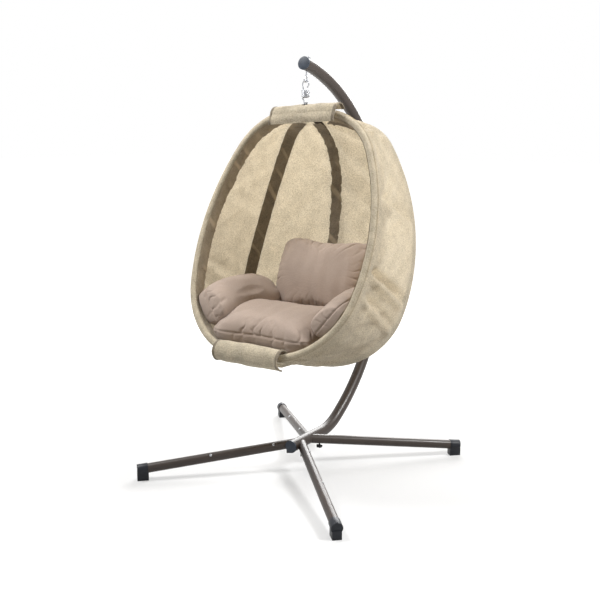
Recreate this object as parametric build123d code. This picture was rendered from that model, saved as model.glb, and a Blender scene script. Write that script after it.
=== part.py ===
from build123d import *
import os
from math import asin, cos, degrees, hypot, pi, radians, sin, sqrt, tan

# Hanging egg chair on a curved pole with a cross base. Millimetres, +Z up.
# The chair faces -Y. The origin is on the floor, under the middle of the cross.

# Curved pole
POLE_R = 28.5
POLE_WALL = 2.5
BORE_SIDES = 12
RUN_HEIGHT = 135.0
RUN_FRONT = 111.0
RUN_BACK = 146.0
FOOT_BEND_R = 270.0
FOOT_BEND_DEG = 31.0
POLE_ARC_R = 949.0
POLE_ARC_DEG = 136.8
SPLIT_DEG = 57.0
SPIGOT_LENGTH = 110.0
SLIP = 0.2
COLLAR_LENGTH = 20.0
CAP_LIP = 1.5
CAP_THICK = 6.0
CAP_PLUG = 9.0

# Cross base
LEG_R = 22.5
LEG_WALL = 1.8
LEG_DEG = 45.0
LEG_ROOT = 30.0
LEG_REACH = 776.0
LEG_END_HEIGHT = 50.0
STUB_LENGTH = 110.0
STUB_WALL = 2.2
LEG_SPIGOT = 78.0
BUTT_GAP = 0.6
FOOT_CAP_R = 25.5
FOOT_CAP_LENGTH = 50.0
FOOT_CAP_END = 7.0
FOOT_PAD_LENGTH = 54.0
FOOT_PAD_WIDTH = 40.0
BOLT_HEAD_R = 6.5
BOLT_HEAD = 3.0
BOLT_HEAD_SIDES = 10
BOLT_HEAD_TAPER = 35.0
BOLT_NECK = 6.0
BOLT_FIT = 0.15
LEG_BOLT_NECK = 9.0
LEG_BOLT_AT = (26.0, 330.0)
LEG_BOLT_TURN = 45.0
KNOB_AT = 62.0
KNOB_R = 16.0
KNOB_WAIST_R = 11.0
KNOB_LOBES = 5
KNOB_THICK = 11.0
KNOB_STAND = 9.0
KNOB_STUD_R = 4.0
STUD_FIT = 0.08

# Hanging gear, on the vertical line through the eye
HANG_Y = 9.0
EYE_HEIGHT = 1845.0
EYE_R = 12.0
EYE_WIRE_R = 4.0
EYE_NUT_R = 7.5
EYE_NUT = 7.0
SEAT_GAP = 0.5
WIRE_R = 2.8
WIRE_SIDES = 4
COIL_R = 17.0
COIL_TURNS = 5
COIL_PITCH = 6.3
LOOP_R = 16.5
LOOP_OPEN_DEG = 60.0
LOOP_DROP = 11.0
HOOK_R = 8.5
HOOK_DROP = 12.5
RING_R = 11.0
RING_WIRE_R = 2.5
HANGER_EYE_R = 12.0
HANGER_WIRE_R = 4.0
HANGER_SHANK_R = 5.0
SHANK_FIT = 0.06
HANGER_NUT_R = 9.0
HANGER_NUT = 8.0
BOSS_R = 12.0
BOSS_BELOW = 24.0
WIRE_FACES = 6

# Basket ribs: bent square tube, each in a plane through the line of the two hubs
TILT_DEG = 23.3
HUB_Y = 21.0
HUB_HEIGHT = 1696.0
HUB_SPAN = 1135.0
RIB = 20.0
RIM_WALL = 1.2
BACK_WALL = 3.0
HUB_R = 38.0
HUB_PLATE = 8.0
SOCKET_START = 29.0
BORE_START = 38.0
SOCKET_REACH = 66.0
SOCKET_WALL = 2.4
SOCKET_FIT = 0.2
SOCKET_BOLT_NECK = 7.0
SOCKET_BOLT_AT = 55.0
# degrees of rise out of the top hub, reach of the straight lead, top radius and degrees,
# side radius and degrees, degrees of rise out of the bottom hub
RIM_RIB = (0.0, 94.0, 287.5, 63.4, 1039.0, 38.0, 0.0)
CORNER_RIB = (3.75, 274.0, 164.0, 52.7, 942.0, 49.3, 8.0)
BACK_RIB = (0.0, 84.5, 315.0, 64.7, 1133.0, 30.4, 0.0)
RIM_DEG = 4.7
CORNER_DEG = 45.0
BACK_DEG = 90.0

# Cover: panels sewn between the ribs, strips that hold the ribs, and two closing flaps
CLOTH = 2.5
CLOTH_GAP = 0.4
PANEL_GAP = 2.2
RIM_PANEL_GAP = 6.5
WING_DROP = 4.0
PANEL_STEPS = 22
RIM_PANEL_START = 185.0
CORNER_PANEL_START = 105.0
BACK_PANEL_START = 80.0
STRIP_HALF = 29.0
RIM_BAND = 46.0
STRIP_START = 120.0
FLAP_R = 43.0
FLAP_LENGTH = 350.0
FLAP_DROP = 9.0
FLAP_TOP_DEG = (47.0, 220.0)
FLAP_BOTTOM_DEG = (60.0, 290.0)
FLAP_HOLE_R = 17.0

# Cushions: width, depth, thickness, then the place each starts from before it settles, and its lean
SEAT_SIZE = (510.0, 420.0, 165.0)
SEAT_PLACE = (0.0, -178.0, 745.0)
SEAT_LEAN = 3.0
SEAT_END = 0.35
BACK_SIZE = (540.0, 360.0, 150.0)
BACK_PLACE = (8.0, 95.0, 965.0)
BACK_LEAN = 72.0
BACK_END = 0.45
BACK_WAY = (0.0, 0.6, -0.8)
ARM_SIZE = (345.0, 190.0, 185.0)
ARM_PLACE = (286.0, -172.0, 850.0)
ARM_TURN = 100.0
ARM_LEAN = 6.0
ARM_END = 0.6
ARM_WAY = (0.6, 0.0, -0.8)
SOFT_GAP = 0.35
# shares of a cushion's depth and thickness, at its ends, at its shoulders and in the middle
PILLOW_SEAM = 0.5
PILLOW_SWELL = 0.16
FLAT_WAIST = 0.95
ROUND_WAIST = 1.0
PILLOW_END_DEPTH = 0.86
SHOULDER_AT = 0.38
SHOULDER_THICK = 0.82
FILL_END = (0.42, 0.4, 0.25)
FILL_MIDDLE = (0.0, 0.44, 0.34)
FILL_FLAT = 0.7

os.makedirs("parts", exist_ok=True)


def save(shape, name):
    export_step(shape, f"parts/{name}.step")


def rod(path, radius):
    """Round bar along a path."""
    return sweep(Plane(path @ 0, z_dir=path % 0) * Circle(radius), path)


def spun(start, axis, radius, length):
    """Straight round bar from a point along an axis."""
    return extrude(Plane(start, z_dir=axis) * Circle(radius), length)


def hollow(path, radius):
    """Core that leaves a tube hollow, with flat sides to keep its faces few, the flats at the radius."""
    section = RegularPolygon(radius, BORE_SIDES, major_radius=False)
    return sweep(Plane(path @ 0, z_dir=path % 0) * section, path)


def straight(start, axis, length):
    return Wire([Line(start, start + axis * length)])


def neck_bolt(seat, away, depth):
    """Bolt with a low domed head on a square neck, its head seated at a point and facing away."""
    level = Plane(seat + away * STUD_FIT, z_dir=away)
    head = extrude(level * RegularPolygon(BOLT_HEAD_R, BOLT_HEAD_SIDES), BOLT_HEAD, taper=BOLT_HEAD_TAPER)
    return head + extrude(level * Rectangle(BOLT_NECK, BOLT_NECK), -depth)


def neck_hole(seat, away, depth):
    """Square hole for a bolt's neck."""
    side = BOLT_NECK + 2 * BOLT_FIT
    return extrude(Plane(seat + away * BOLT_HEAD, z_dir=away) * Rectangle(side, side), -depth - BOLT_HEAD)


# The pole's line: a level run, a tight bend, then one long arc that leans over the chair.

BEND_END = Vector(0, RUN_BACK + FOOT_BEND_R * sin(radians(FOOT_BEND_DEG)),
                  RUN_HEIGHT + FOOT_BEND_R * (1 - cos(radians(FOOT_BEND_DEG))))
ARC_CENTRE = BEND_END + Vector(0, -sin(radians(FOOT_BEND_DEG)), cos(radians(FOOT_BEND_DEG))) * POLE_ARC_R


def on_arc(turn):
    """Point on the long arc, at degrees from its lower end."""
    angle = radians(FOOT_BEND_DEG + turn)
    return ARC_CENTRE + Vector(0, sin(angle), -cos(angle)) * POLE_ARC_R


def long_arc(start, end):
    return Wire([ThreePointArc(on_arc(start), on_arc((start + end) / 2), on_arc(end))])


def lower_line():
    half = radians(FOOT_BEND_DEG / 2)
    bend_mid = Vector(0, RUN_BACK + FOOT_BEND_R * sin(half), RUN_HEIGHT + FOOT_BEND_R * (1 - cos(half)))
    run_end = Vector(0, RUN_BACK, RUN_HEIGHT)
    return Wire([
        Line((0, -RUN_FRONT, RUN_HEIGHT), run_end),
        ThreePointArc(run_end, bend_mid, BEND_END),
        ThreePointArc(BEND_END, on_arc(SPLIT_DEG / 2), on_arc(SPLIT_DEG)),
    ])


POLE_BORE = POLE_R - POLE_WALL


def arc_degrees(length):
    return degrees(length / POLE_ARC_R)


def upper_pole():
    """Top length of the pole, with a narrower spigot that slips into the lower length."""
    spigot_r = POLE_BORE - SLIP
    tube_line = long_arc(SPLIT_DEG, POLE_ARC_DEG)
    collar_line = long_arc(SPLIT_DEG, SPLIT_DEG + arc_degrees(COLLAR_LENGTH))
    spigot_line = long_arc(SPLIT_DEG - arc_degrees(SPIGOT_LENGTH), SPLIT_DEG + arc_degrees(COLLAR_LENGTH / 2))
    bore_line = long_arc(SPLIT_DEG - arc_degrees(SPIGOT_LENGTH), SPLIT_DEG + arc_degrees(COLLAR_LENGTH))
    tube = rod(tube_line, POLE_R) - hollow(tube_line, POLE_BORE)
    sleeve = rod(collar_line, POLE_R - POLE_WALL / 2) + rod(spigot_line, spigot_r)
    return tube + (sleeve - hollow(bore_line, spigot_r - POLE_WALL))


# Legs: each leaves the run at an angle and falls towards its foot.

LEG_FALL = RUN_HEIGHT - LEG_END_HEIGHT
LEG_LENGTH = hypot(LEG_REACH, LEG_FALL)


class LegLine:
    """Axis of one leg: root on the run, direction to the foot, and its side and underside."""

    def __init__(self, right, front):
        self.root = Vector(0, front * LEG_ROOT, RUN_HEIGHT)
        flat = Vector(right * sin(radians(LEG_DEG)), front * cos(radians(LEG_DEG)), 0)
        self.flat = flat
        self.along = (flat * LEG_REACH - Vector(0, 0, LEG_FALL)).normalized()
        self.side = self.along.cross(Vector(0, 0, 1)).normalized()
        self.up = self.side.cross(self.along)

    def at(self, distance):
        return self.root + self.along * distance


LEGS = {
    "front_left": LegLine(-1, -1),
    "front_right": LegLine(1, -1),
    "rear_left": LegLine(-1, 1),
    "rear_right": LegLine(1, 1),
}
STUB_BORE = LEG_R - STUB_WALL


def knob_axis(leg):
    """Point on the underside of the stub, and the way the knob's stud points."""
    return leg.at(KNOB_AT) - leg.up * LEG_R, leg.up


def lower_pole():
    """Lower length of the pole with the four leg stubs welded to its level run."""
    line = lower_line()
    bar = rod(line, POLE_R)
    for leg in LEGS.values():
        bar += spun(leg.root, leg.along, LEG_R, STUB_LENGTH)
    bar -= hollow(line, POLE_BORE)
    for leg in LEGS.values():
        bar -= hollow(straight(leg.at(POLE_R + STUB_WALL), leg.along, STUB_LENGTH), STUB_BORE)
        seat, up = knob_axis(leg)
        bar -= spun(seat - up, up, KNOB_STUD_R + STUD_FIT, 2 * STUB_WALL)
    return bar


def leg_bolt_seat(leg, at):
    """Seat of a bolt's head on the upper side of a leg, and the way it faces."""
    out = leg.side.rotate(Axis((0, 0, 0), leg.along), LEG_BOLT_TURN)
    away = -out if out.Z < 0 else out
    return leg.at(STUB_LENGTH + at) + away * LEG_R, away


def leg_tube(leg):
    """Leg with a reduced end that slips into its stub."""
    start = STUB_LENGTH + BUTT_GAP
    inner_end = STUB_LENGTH - LEG_SPIGOT
    spigot_r = STUB_BORE - SLIP
    length = LEG_LENGTH - start
    tube = spun(leg.at(start), leg.along, LEG_R, length)
    tube += spun(leg.at(inner_end), leg.along, spigot_r, LEG_SPIGOT + BUTT_GAP)
    tube -= hollow(straight(leg.at(inner_end), leg.along, LEG_SPIGOT + 2 * LEG_WALL), spigot_r - LEG_WALL)
    tube -= hollow(straight(leg.at(start + 2 * LEG_WALL), leg.along, length), LEG_R - LEG_WALL)
    for at in LEG_BOLT_AT:
        tube -= neck_hole(*leg_bolt_seat(leg, at), LEG_BOLT_NECK)
    seat, up = knob_axis(leg)
    slot = 2 * KNOB_STUD_R + BUTT_GAP
    return tube - extrude(Plane(seat, z_dir=up) * Rectangle(slot, slot), LEG_R)


def foot(leg):
    """Plastic shoe: a round cap on the leg's end over a flat pad that stands on the floor."""
    cap_start = LEG_LENGTH + FOOT_CAP_END - FOOT_CAP_LENGTH
    shoe = spun(leg.at(cap_start), leg.along, FOOT_CAP_R, FOOT_CAP_LENGTH)
    middle = leg.at(cap_start + FOOT_CAP_LENGTH / 2)
    floor = Plane((middle.X, middle.Y, 0), x_dir=leg.flat, z_dir=(0, 0, 1))
    shoe += extrude(floor * Rectangle(FOOT_PAD_LENGTH, FOOT_PAD_WIDTH), middle.Z - FOOT_CAP_R / 2)
    bore = straight(leg.at(cap_start - FOOT_PAD_LENGTH), leg.along, LEG_LENGTH - cap_start + FOOT_PAD_LENGTH)
    return shoe - hollow(bore, LEG_R + STUD_FIT)


def knob(leg):
    """Star knob with a stud through the stub into a slot in the leg."""
    seat, up = knob_axis(leg)
    corners = []
    for k in range(2 * KNOB_LOBES):
        angle = pi * k / KNOB_LOBES
        radius = KNOB_WAIST_R if k % 2 else KNOB_R
        corners.append((radius * cos(angle), radius * sin(angle)))
    below = seat - up * KNOB_STAND
    grip = extrude(Plane(below, z_dir=-up) * make_face(Polyline(*corners, close=True)), KNOB_THICK)
    return grip + spun(below, up, KNOB_STUD_R, KNOB_STAND + STUB_WALL + 2 * LEG_WALL)


def end_cap(at, out):
    """Flat round plug in an open end of the pole."""
    disc = spun(at, out, POLE_R + CAP_LIP, CAP_THICK)
    return disc + spun(at - out * CAP_PLUG, out, POLE_BORE - SLIP, CAP_PLUG + CAP_THICK / 2)


# Hanging gear. The eye bolt stands square to the pole, on a radius of the long arc.

EYE_CENTRE = Vector(0, HANG_Y, EYE_HEIGHT)
BOLT_UP = (EYE_CENTRE - ARC_CENTRE).normalized()
POLE_AT_BOLT = ARC_CENTRE + BOLT_UP * POLE_ARC_R
NUT_SEAT = POLE_AT_BOLT + BOLT_UP * (POLE_R + SEAT_GAP / 2)


def wire_section(radius):
    return RegularPolygon(radius, WIRE_FACES)


def wire_ring(centre, normal, radius, wire):
    """Closed ring of faceted wire, in two half turns."""
    frame = Plane(centre, z_dir=normal)
    start, far = frame.from_local_coords((radius, 0, 0)), frame.from_local_coords((-radius, 0, 0))
    near, away = frame.from_local_coords((0, radius, 0)), frame.from_local_coords((0, -radius, 0))
    section = Plane(start, x_dir=normal, z_dir=frame.y_dir) * wire_section(wire)
    first = sweep(section, ThreePointArc(start, near, far))
    back = Plane(start, x_dir=normal, z_dir=-frame.y_dir) * wire_section(wire)
    return first + sweep(back, ThreePointArc(start, away, far))


def eye_bolt():
    """Bolt with a bent eye, the eye standing along the chair's middle plane."""
    eye = wire_ring(EYE_CENTRE, Vector(1, 0, 0), EYE_R, EYE_WIRE_R)
    foot_point = EYE_CENTRE + BOLT_UP * EYE_R
    length = (NUT_SEAT - foot_point).length + EYE_NUT + EYE_WIRE_R
    return eye + spun(foot_point, BOLT_UP, EYE_WIRE_R, length)


def bolt_holes(shape):
    return shape - spun(EYE_CENTRE, BOLT_UP, EYE_WIRE_R + STUD_FIT, POLE_ARC_R)


def hex_nut(seat, up, across, height, hole):
    return extrude(Plane(seat, z_dir=up) * (RegularPolygon(across, 6) - Circle(hole)), height)


def biarc(start, start_way, end, end_way):
    """Two arcs that join two points smoothly, each leaving along its given direction."""
    gap = end - start
    ways = start_way + end_way
    bend = 2 * (1 - start_way.dot(end_way))
    along = gap.dot(ways)
    if abs(bend) < 1e-9:
        reach = gap.dot(gap) / (4 * gap.dot(end_way))
    else:
        reach = (sqrt(along ** 2 + bend * gap.dot(gap)) - along) / bend
    middle = (start + start_way * reach + end - end_way * reach) * 0.5
    first = TangentArc(start, middle, tangent=start_way)
    second = TangentArc(middle, end, tangent=first % 1)
    return [first, second]


LOOP_TOP = EYE_HEIGHT - EYE_R + EYE_WIRE_R + WIRE_R + SEAT_GAP
LOOP_CENTRE = LOOP_TOP - LOOP_R
COIL_TOP = LOOP_CENTRE - LOOP_R - LOOP_DROP
COIL_BOTTOM = COIL_TOP - COIL_TURNS * COIL_PITCH
HOOK_CENTRE = COIL_BOTTOM - HOOK_DROP - HOOK_R
HOOK_LOW = HOOK_CENTRE - HOOK_R


def spring_stations():
    """Points and directions along the spring: closed loop, even turns, then an open hook."""
    def hung(x, y, z):
        return Vector(x, HANG_Y + y, z)

    side = LOOP_R * sin(radians(LOOP_OPEN_DEG))
    low = LOOP_R * cos(radians(LOOP_OPEN_DEG))
    loop = [
        (hung(side, 0, LOOP_CENTRE - low), Vector(low, 0, side).normalized()),
        (hung(LOOP_R, 0, LOOP_CENTRE), Vector(0, 0, 1)),
        (hung(0, 0, LOOP_TOP), Vector(-1, 0, 0)),
        (hung(-LOOP_R, 0, LOOP_CENTRE), Vector(0, 0, -1)),
    ]
    slope = COIL_PITCH / (2 * pi * COIL_R)
    turns = []
    for quarter in range(4 * COIL_TURNS + 1):
        angle = radians(180 + 90 * quarter)
        place = hung(COIL_R * cos(angle), COIL_R * sin(angle), COIL_TOP - COIL_PITCH * quarter / 4)
        turns.append((place, Vector(-sin(angle), cos(angle), -slope).normalized()))
    hook = [
        (hung(-HOOK_R, 0, HOOK_CENTRE), Vector(0, 0, -1)),
        (hung(0, 0, HOOK_LOW), Vector(1, 0, 0)),
        (hung(HOOK_R, 0, HOOK_CENTRE), Vector(0, 0, 1)),
    ]
    return loop + turns + hook


def spring_path():
    stations = spring_stations()
    arcs = []
    for (start, start_way), (end, end_way) in zip(stations, stations[1:]):
        arcs += biarc(start, start_way, end, end_way)
    return Wire(arcs)


def least_gap(path, radius, samples=900):
    """Smallest clear gap between stretches of a wire that aren't next to each other."""
    points = [path @ (k / samples) for k in range(samples + 1)]
    skip = int(samples * 5 * radius / path.length) + 1
    least = min((points[i] - points[j]).length
                for i in range(samples + 1) for j in range(i + skip, samples + 1))
    return least - 2 * radius


def spring():
    path = spring_path()
    print(f"spring wire {path.length:.0f} mm long, least gap to itself {least_gap(path, WIRE_R):.2f} mm")
    section = Plane(path @ 0, x_dir=(0, 1, 0), z_dir=path % 0) * RegularPolygon(WIRE_R, WIRE_SIDES)
    return sweep(section, path)


RING_TOP = HOOK_LOW + WIRE_R + RING_WIRE_R + SEAT_GAP
RING_CENTRE = RING_TOP - RING_R
RING_LOW = RING_CENTRE - RING_R
HANGER_TOP = RING_LOW + RING_WIRE_R + HANGER_WIRE_R + SEAT_GAP
HANGER_CENTRE = HANGER_TOP - HANGER_EYE_R

# Basket frame directions: down the line of hubs, and straight back from the opening.

DOWN = Vector(0, -sin(radians(TILT_DEG)), -cos(radians(TILT_DEG)))
BACK = Vector(0, cos(radians(TILT_DEG)), -sin(radians(TILT_DEG)))
RIGHT = Vector(1, 0, 0)
TOP_HUB = Vector(0, HUB_Y, HUB_HEIGHT)
BOTTOM_HUB = TOP_HUB + DOWN * HUB_SPAN
BOSS_LOW = HUB_HEIGHT - BOSS_BELOW


def hanger():
    """Swivel eye: an eye across the chair on a shank that turns in the top hub."""
    centre = Vector(0, HANG_Y, HANGER_CENTRE)
    eye = wire_ring(centre, Vector(0, 1, 0), HANGER_EYE_R, HANGER_WIRE_R)
    top = HANGER_CENTRE - HANGER_EYE_R
    low = BOSS_LOW - SEAT_GAP - HANGER_NUT - HANGER_WIRE_R
    return eye + spun(Vector(0, HANG_Y, top), Vector(0, 0, -1), HANGER_SHANK_R, top - low)


class Rib:
    """One bent rib: a straight lead out of the hub, three arcs and a straight tail, in one plane."""

    def __init__(self, degrees_round, side, shape, roll, wall):
        angle = radians(degrees_round)
        rise, lead, top_r, top_deg, side_r, side_deg, tail = shape
        self.out = RIGHT * (side * cos(angle)) + BACK * sin(angle)
        self.across = DOWN.cross(self.out)
        self.roll = roll
        self.wall = wall
        self.rise = radians(rise)
        self.tail = radians(tail)
        self.lead_way = self.out * cos(self.rise) - DOWN * sin(self.rise)
        self.tail_way = self.out * cos(self.tail) - DOWN * sin(self.tail)
        self.headings = [-self.rise]
        for turn in (top_deg, side_deg):
            self.headings.append(self.headings[-1] + radians(turn))
        self.headings.append(pi - self.tail)
        h0, h1, h2, h3 = self.headings
        drop = top_r * (cos(h0) - cos(h1)) + side_r * (cos(h1) - cos(h2)) - lead * tan(self.rise)
        reached = lead + top_r * (sin(h1) - sin(h0)) + side_r * (sin(h2) - sin(h1))
        # the last arc's radius is the one whose tail points at the bottom hub
        left = HUB_SPAN - drop - reached * tan(self.tail)
        low_r = left / (cos(h2) - cos(h3) + (sin(h3) - sin(h2)) * tan(self.tail))
        self.radii = [top_r, side_r, low_r]
        # centres of the three arcs as reach and depth, each on the line through the last arc's end
        reach, depth = lead, -lead * tan(self.rise)
        self.centres = []
        for k, radius in enumerate(self.radii):
            start, end = self.headings[k], self.headings[k + 1]
            centre = (reach - radius * sin(start), depth + radius * cos(start))
            self.centres.append(centre)
            reach, depth = centre[0] + radius * sin(end), centre[1] - radius * cos(end)

    def place(self, reach, depth, lateral=0.0):
        """Point at a reach out from the hub line and a depth below the top hub."""
        return TOP_HUB + self.out * reach + DOWN * depth + self.across * lateral

    def on(self, k, heading, proud, lateral):
        """Point on arc k where the rib's line has a heading, moved outwards by proud."""
        grown = self.radii[k] + proud
        return self.place(self.centres[k][0] + grown * sin(heading),
                          self.centres[k][1] - grown * cos(heading), lateral)

    def line(self, end_reach, proud=0.0, lateral=0.0):
        """Line down the rib between the same reach at the top and at the bottom."""
        first, last = self.headings[0], self.headings[-1]
        turns = list(self.headings)
        edges = []
        top_reach = self.centres[0][0] + (self.radii[0] + proud) * sin(first)
        if end_reach < top_reach:
            lead_end = self.on(0, first, proud, lateral)
            lead_start = lead_end - self.lead_way * ((top_reach - end_reach) / cos(self.rise))
            edges.append(Line(lead_start, lead_end))
        else:
            turns[0] = asin((end_reach - self.centres[0][0]) / (self.radii[0] + proud))
        tail_reach = self.centres[2][0] + (self.radii[2] + proud) * sin(last)
        if end_reach >= tail_reach:
            turns[3] = pi - asin((end_reach - self.centres[2][0]) / (self.radii[2] + proud))
        for k in range(3):
            start, end = turns[k], turns[k + 1]
            ends = [self.on(k, heading, proud, lateral) for heading in (start, (start + end) / 2, end)]
            edges.append(ThreePointArc(*ends))
        if end_reach < tail_reach:
            tail_start = self.on(2, last, proud, lateral)
            tail_length = (tail_reach - end_reach) / cos(self.tail)
            edges.append(Line(tail_start, tail_start - self.tail_way * tail_length))
        return Wire(edges)

    def bar(self, size):
        path = self.line(BORE_START)
        section = Rot(0, 0, self.roll) * Rectangle(size, size)
        return sweep(Plane(path @ 0, x_dir=self.across, z_dir=path % 0) * section, path)

    def strip(self, outline):
        """Cloth strip along the rib, from an outline of across and outward places."""
        path = self.line(STRIP_START)
        section = Plane(path @ 0, x_dir=self.across, z_dir=path % 0)
        outward = -1 if section.y_dir.dot(DOWN) > 0 else 1
        points = [(across, level * outward) for across, level in outline]
        return sweep(section * make_face(Polyline(*points, close=True)), path)


RIBS = {
    "rim_left": Rib(RIM_DEG, -1, RIM_RIB, 0, RIM_WALL),
    "rim_right": Rib(RIM_DEG, 1, RIM_RIB, 0, RIM_WALL),
    "corner_left": Rib(CORNER_DEG, -1, CORNER_RIB, 45, BACK_WALL),
    "corner_right": Rib(CORNER_DEG, 1, CORNER_RIB, 45, BACK_WALL),
    "back": Rib(BACK_DEG, 1, BACK_RIB, 0, BACK_WALL),
}


def rib_tube(rib):
    return rib.bar(RIB) - rib.bar(RIB - 2 * rib.wall)


def socket_frame(rib, centre, reach):
    way = rib.lead_way if centre is TOP_HUB else rib.tail_way
    return Plane(centre + way * reach, x_dir=rib.across, z_dir=way)


SOCKET_BORE = RIB + 2 * SOCKET_FIT
SOCKET_SIZE = SOCKET_BORE + 2 * SOCKET_WALL


def bolt_place(rib, centre, outward):
    """Seat of a socket bolt's head: the outer side of the socket wall."""
    frame = socket_frame(rib, centre, SOCKET_BOLT_AT)
    up = frame.y_dir.rotate(Axis((0, 0, 0), frame.z_dir), rib.roll)
    away = up if up.dot(outward) > 0 else -up
    return frame.origin + away * (SOCKET_SIZE / 2), away


def hub(centre, outward):
    """Spider hub: a thin round plate with a square socket for each rib."""
    plate = Plane(centre - outward * (SOCKET_SIZE / 2), z_dir=outward)
    core = extrude(plate * Circle(HUB_R), HUB_PLATE)
    for rib in RIBS.values():
        arm = Rot(0, 0, rib.roll) * Rectangle(SOCKET_SIZE, SOCKET_SIZE)
        core += extrude(socket_frame(rib, centre, SOCKET_START) * arm, SOCKET_REACH - SOCKET_START)
    for rib in RIBS.values():
        bore = Rot(0, 0, rib.roll) * Rectangle(SOCKET_BORE, SOCKET_BORE)
        core -= extrude(socket_frame(rib, centre, BORE_START - SOCKET_FIT) * bore, SOCKET_REACH)
    for rib in RIBS.values():
        seat, away = bolt_place(rib, centre, outward)
        core -= neck_hole(seat, away, SOCKET_WALL + SOCKET_FIT)
    return core


def socket_bolts(centre, outward):
    """Bolts that hold the ribs in a hub, one through each socket's outer wall."""
    return [neck_bolt(*bolt_place(rib, centre, outward), SOCKET_BOLT_NECK) for rib in RIBS.values()]


def rib_holes(rib, shape):
    for centre, outward in ((TOP_HUB, -DOWN), (BOTTOM_HUB, DOWN)):
        shape -= neck_hole(*bolt_place(rib, centre, outward), SOCKET_BOLT_NECK)
    return shape


def top_hub():
    core = hub(TOP_HUB, -DOWN)
    core += spun(Vector(0, HANG_Y, BOSS_LOW), Vector(0, 0, 1), BOSS_R, BOSS_BELOW)
    bore_start = Vector(0, HANG_Y, BOSS_LOW - HUB_R)
    return core - spun(bore_start, Vector(0, 0, 1), HANGER_SHANK_R + SHANK_FIT, 3 * HUB_R)


# Cover

FLAT_FACE = RIB / 2 + PANEL_GAP
CORNER_FACE = RIB / sqrt(2) + PANEL_GAP


def edge_points(rib, start_reach, proud, lateral):
    path = rib.line(start_reach, proud, lateral)
    return [path @ (k / PANEL_STEPS) for k in range(PANEL_STEPS + 1)]


def panel(first, second):
    """Thin cloth panel stretched straight between two rib edges (rib, start, face, lateral)."""
    curves = []
    for rib, start_reach, face, lateral in (first, second):
        for proud in (face, face + CLOTH):
            curves.append(Edge.make_spline(edge_points(rib, start_reach, proud, lateral)))
    inner_a, outer_a, inner_b, outer_b = curves
    walls = [(inner_a, inner_b), (outer_a, outer_b), (inner_a, outer_a), (inner_b, outer_b)]
    faces = [Face.make_surface_from_curves(one, two) for one, two in walls]
    for end in (0, 1):
        rails = [Edge.make_line(one @ end, two @ end) for one, two in walls[:2]]
        faces.append(Face.make_surface_from_curves(*rails))
    return Solid(Shell(faces))


def rim_edge(name):
    rib = RIBS[name]
    front = -1 if rib.across.dot(BACK) > 0 else 1
    return rib, RIM_PANEL_START, RIB / 2 + RIM_PANEL_GAP, front * RIB / 2


def corner_edge(name):
    return RIBS[name], CORNER_PANEL_START, CORNER_FACE, 0.0


def back_edge(side):
    rib = RIBS["back"]
    way = 1 if rib.across.X * side > 0 else -1
    return rib, BACK_PANEL_START, FLAT_FACE, way * CLOTH_GAP / 2


def rim_strip(name):
    """Cloth round the front and inside of a rim rib."""
    rib = RIBS[name]
    front = -1 if rib.across.dot(BACK) > 0 else 1
    face = RIB / 2 + CLOTH_GAP
    outline = [
        (front * face, RIB / 2),
        (front * (face + CLOTH), RIB / 2),
        (front * (face + CLOTH), -face - CLOTH),
        (front * (face - RIM_BAND), -face - CLOTH),
        (front * (face - RIM_BAND), -face),
        (front * face, -face),
    ]
    return rib.strip(outline)


def corner_strip(name):
    """Flat strip across the inside of a corner rib."""
    level = -RIB / sqrt(2) - CLOTH_GAP
    half = STRIP_HALF
    outline = [(-half, level), (half, level), (half, level - CLOTH), (-half, level - CLOTH)]
    return RIBS[name].strip(outline)


def back_strip():
    """Channel strip over the back rib, its wings sewn down on the panels."""
    inner = RIB / 2 + CLOTH_GAP
    seam = RIB / 2 - WING_DROP
    half = STRIP_HALF
    outline = [
        (-half, seam), (-inner, -inner), (inner, -inner), (half, seam),
        (half + CLOTH, seam), (inner + CLOTH, -inner - CLOTH),
        (-inner - CLOTH, -inner - CLOTH), (-half - CLOTH, seam),
    ]
    return RIBS["back"].strip(outline)


def flap(centre, span):
    """Closing flap: a curved sheet wrapped round a hub, open at the back."""
    start, end = (radians(value) for value in span)
    frame = Plane(centre - RIGHT * FLAP_LENGTH / 2, x_dir=BACK, z_dir=RIGHT)

    def rim_point(radius, angle):
        return (radius * cos(angle), radius * sin(angle))

    middle = (start + end) / 2
    outer = FLAP_R + CLOTH
    outline = [
        ThreePointArc(rim_point(FLAP_R, start), rim_point(FLAP_R, middle), rim_point(FLAP_R, end)),
        Line(rim_point(FLAP_R, end), rim_point(outer, end)),
        ThreePointArc(rim_point(outer, end), rim_point(outer, middle), rim_point(outer, start)),
        Line(rim_point(outer, start), rim_point(FLAP_R, start)),
    ]
    return extrude(frame * make_face(outline), FLAP_LENGTH)


def top_flap():
    sheet = flap(TOP_HUB + DOWN * FLAP_DROP, FLAP_TOP_DEG)
    return sheet - spun(Vector(0, HANG_Y, HUB_HEIGHT), Vector(0, 0, 1), FLAP_HOLE_R, 4 * FLAP_R)


# Cushions

def pillow_section(depth, height):
    """Closed outline of four gentle arcs: crowned top and bottom, full front and back."""
    a, b, s = depth / 2, height / 2, height * PILLOW_SEAM / 2
    swell = height * PILLOW_SWELL
    return make_face([
        ThreePointArc((-a + swell, s), (0, b), (a - swell, s)),
        ThreePointArc((a - swell, s), (a, 0), (a - swell, -s)),
        ThreePointArc((a - swell, -s), (0, -b), (-a + swell, -s)),
        ThreePointArc((-a + swell, -s), (-a, 0), (-a + swell, s)),
    ])


def across_width(place):
    """Plane square to a cushion's width."""
    return Plane((place, 0, 0), x_dir=(0, 1, 0), z_dir=(1, 0, 0))


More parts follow.
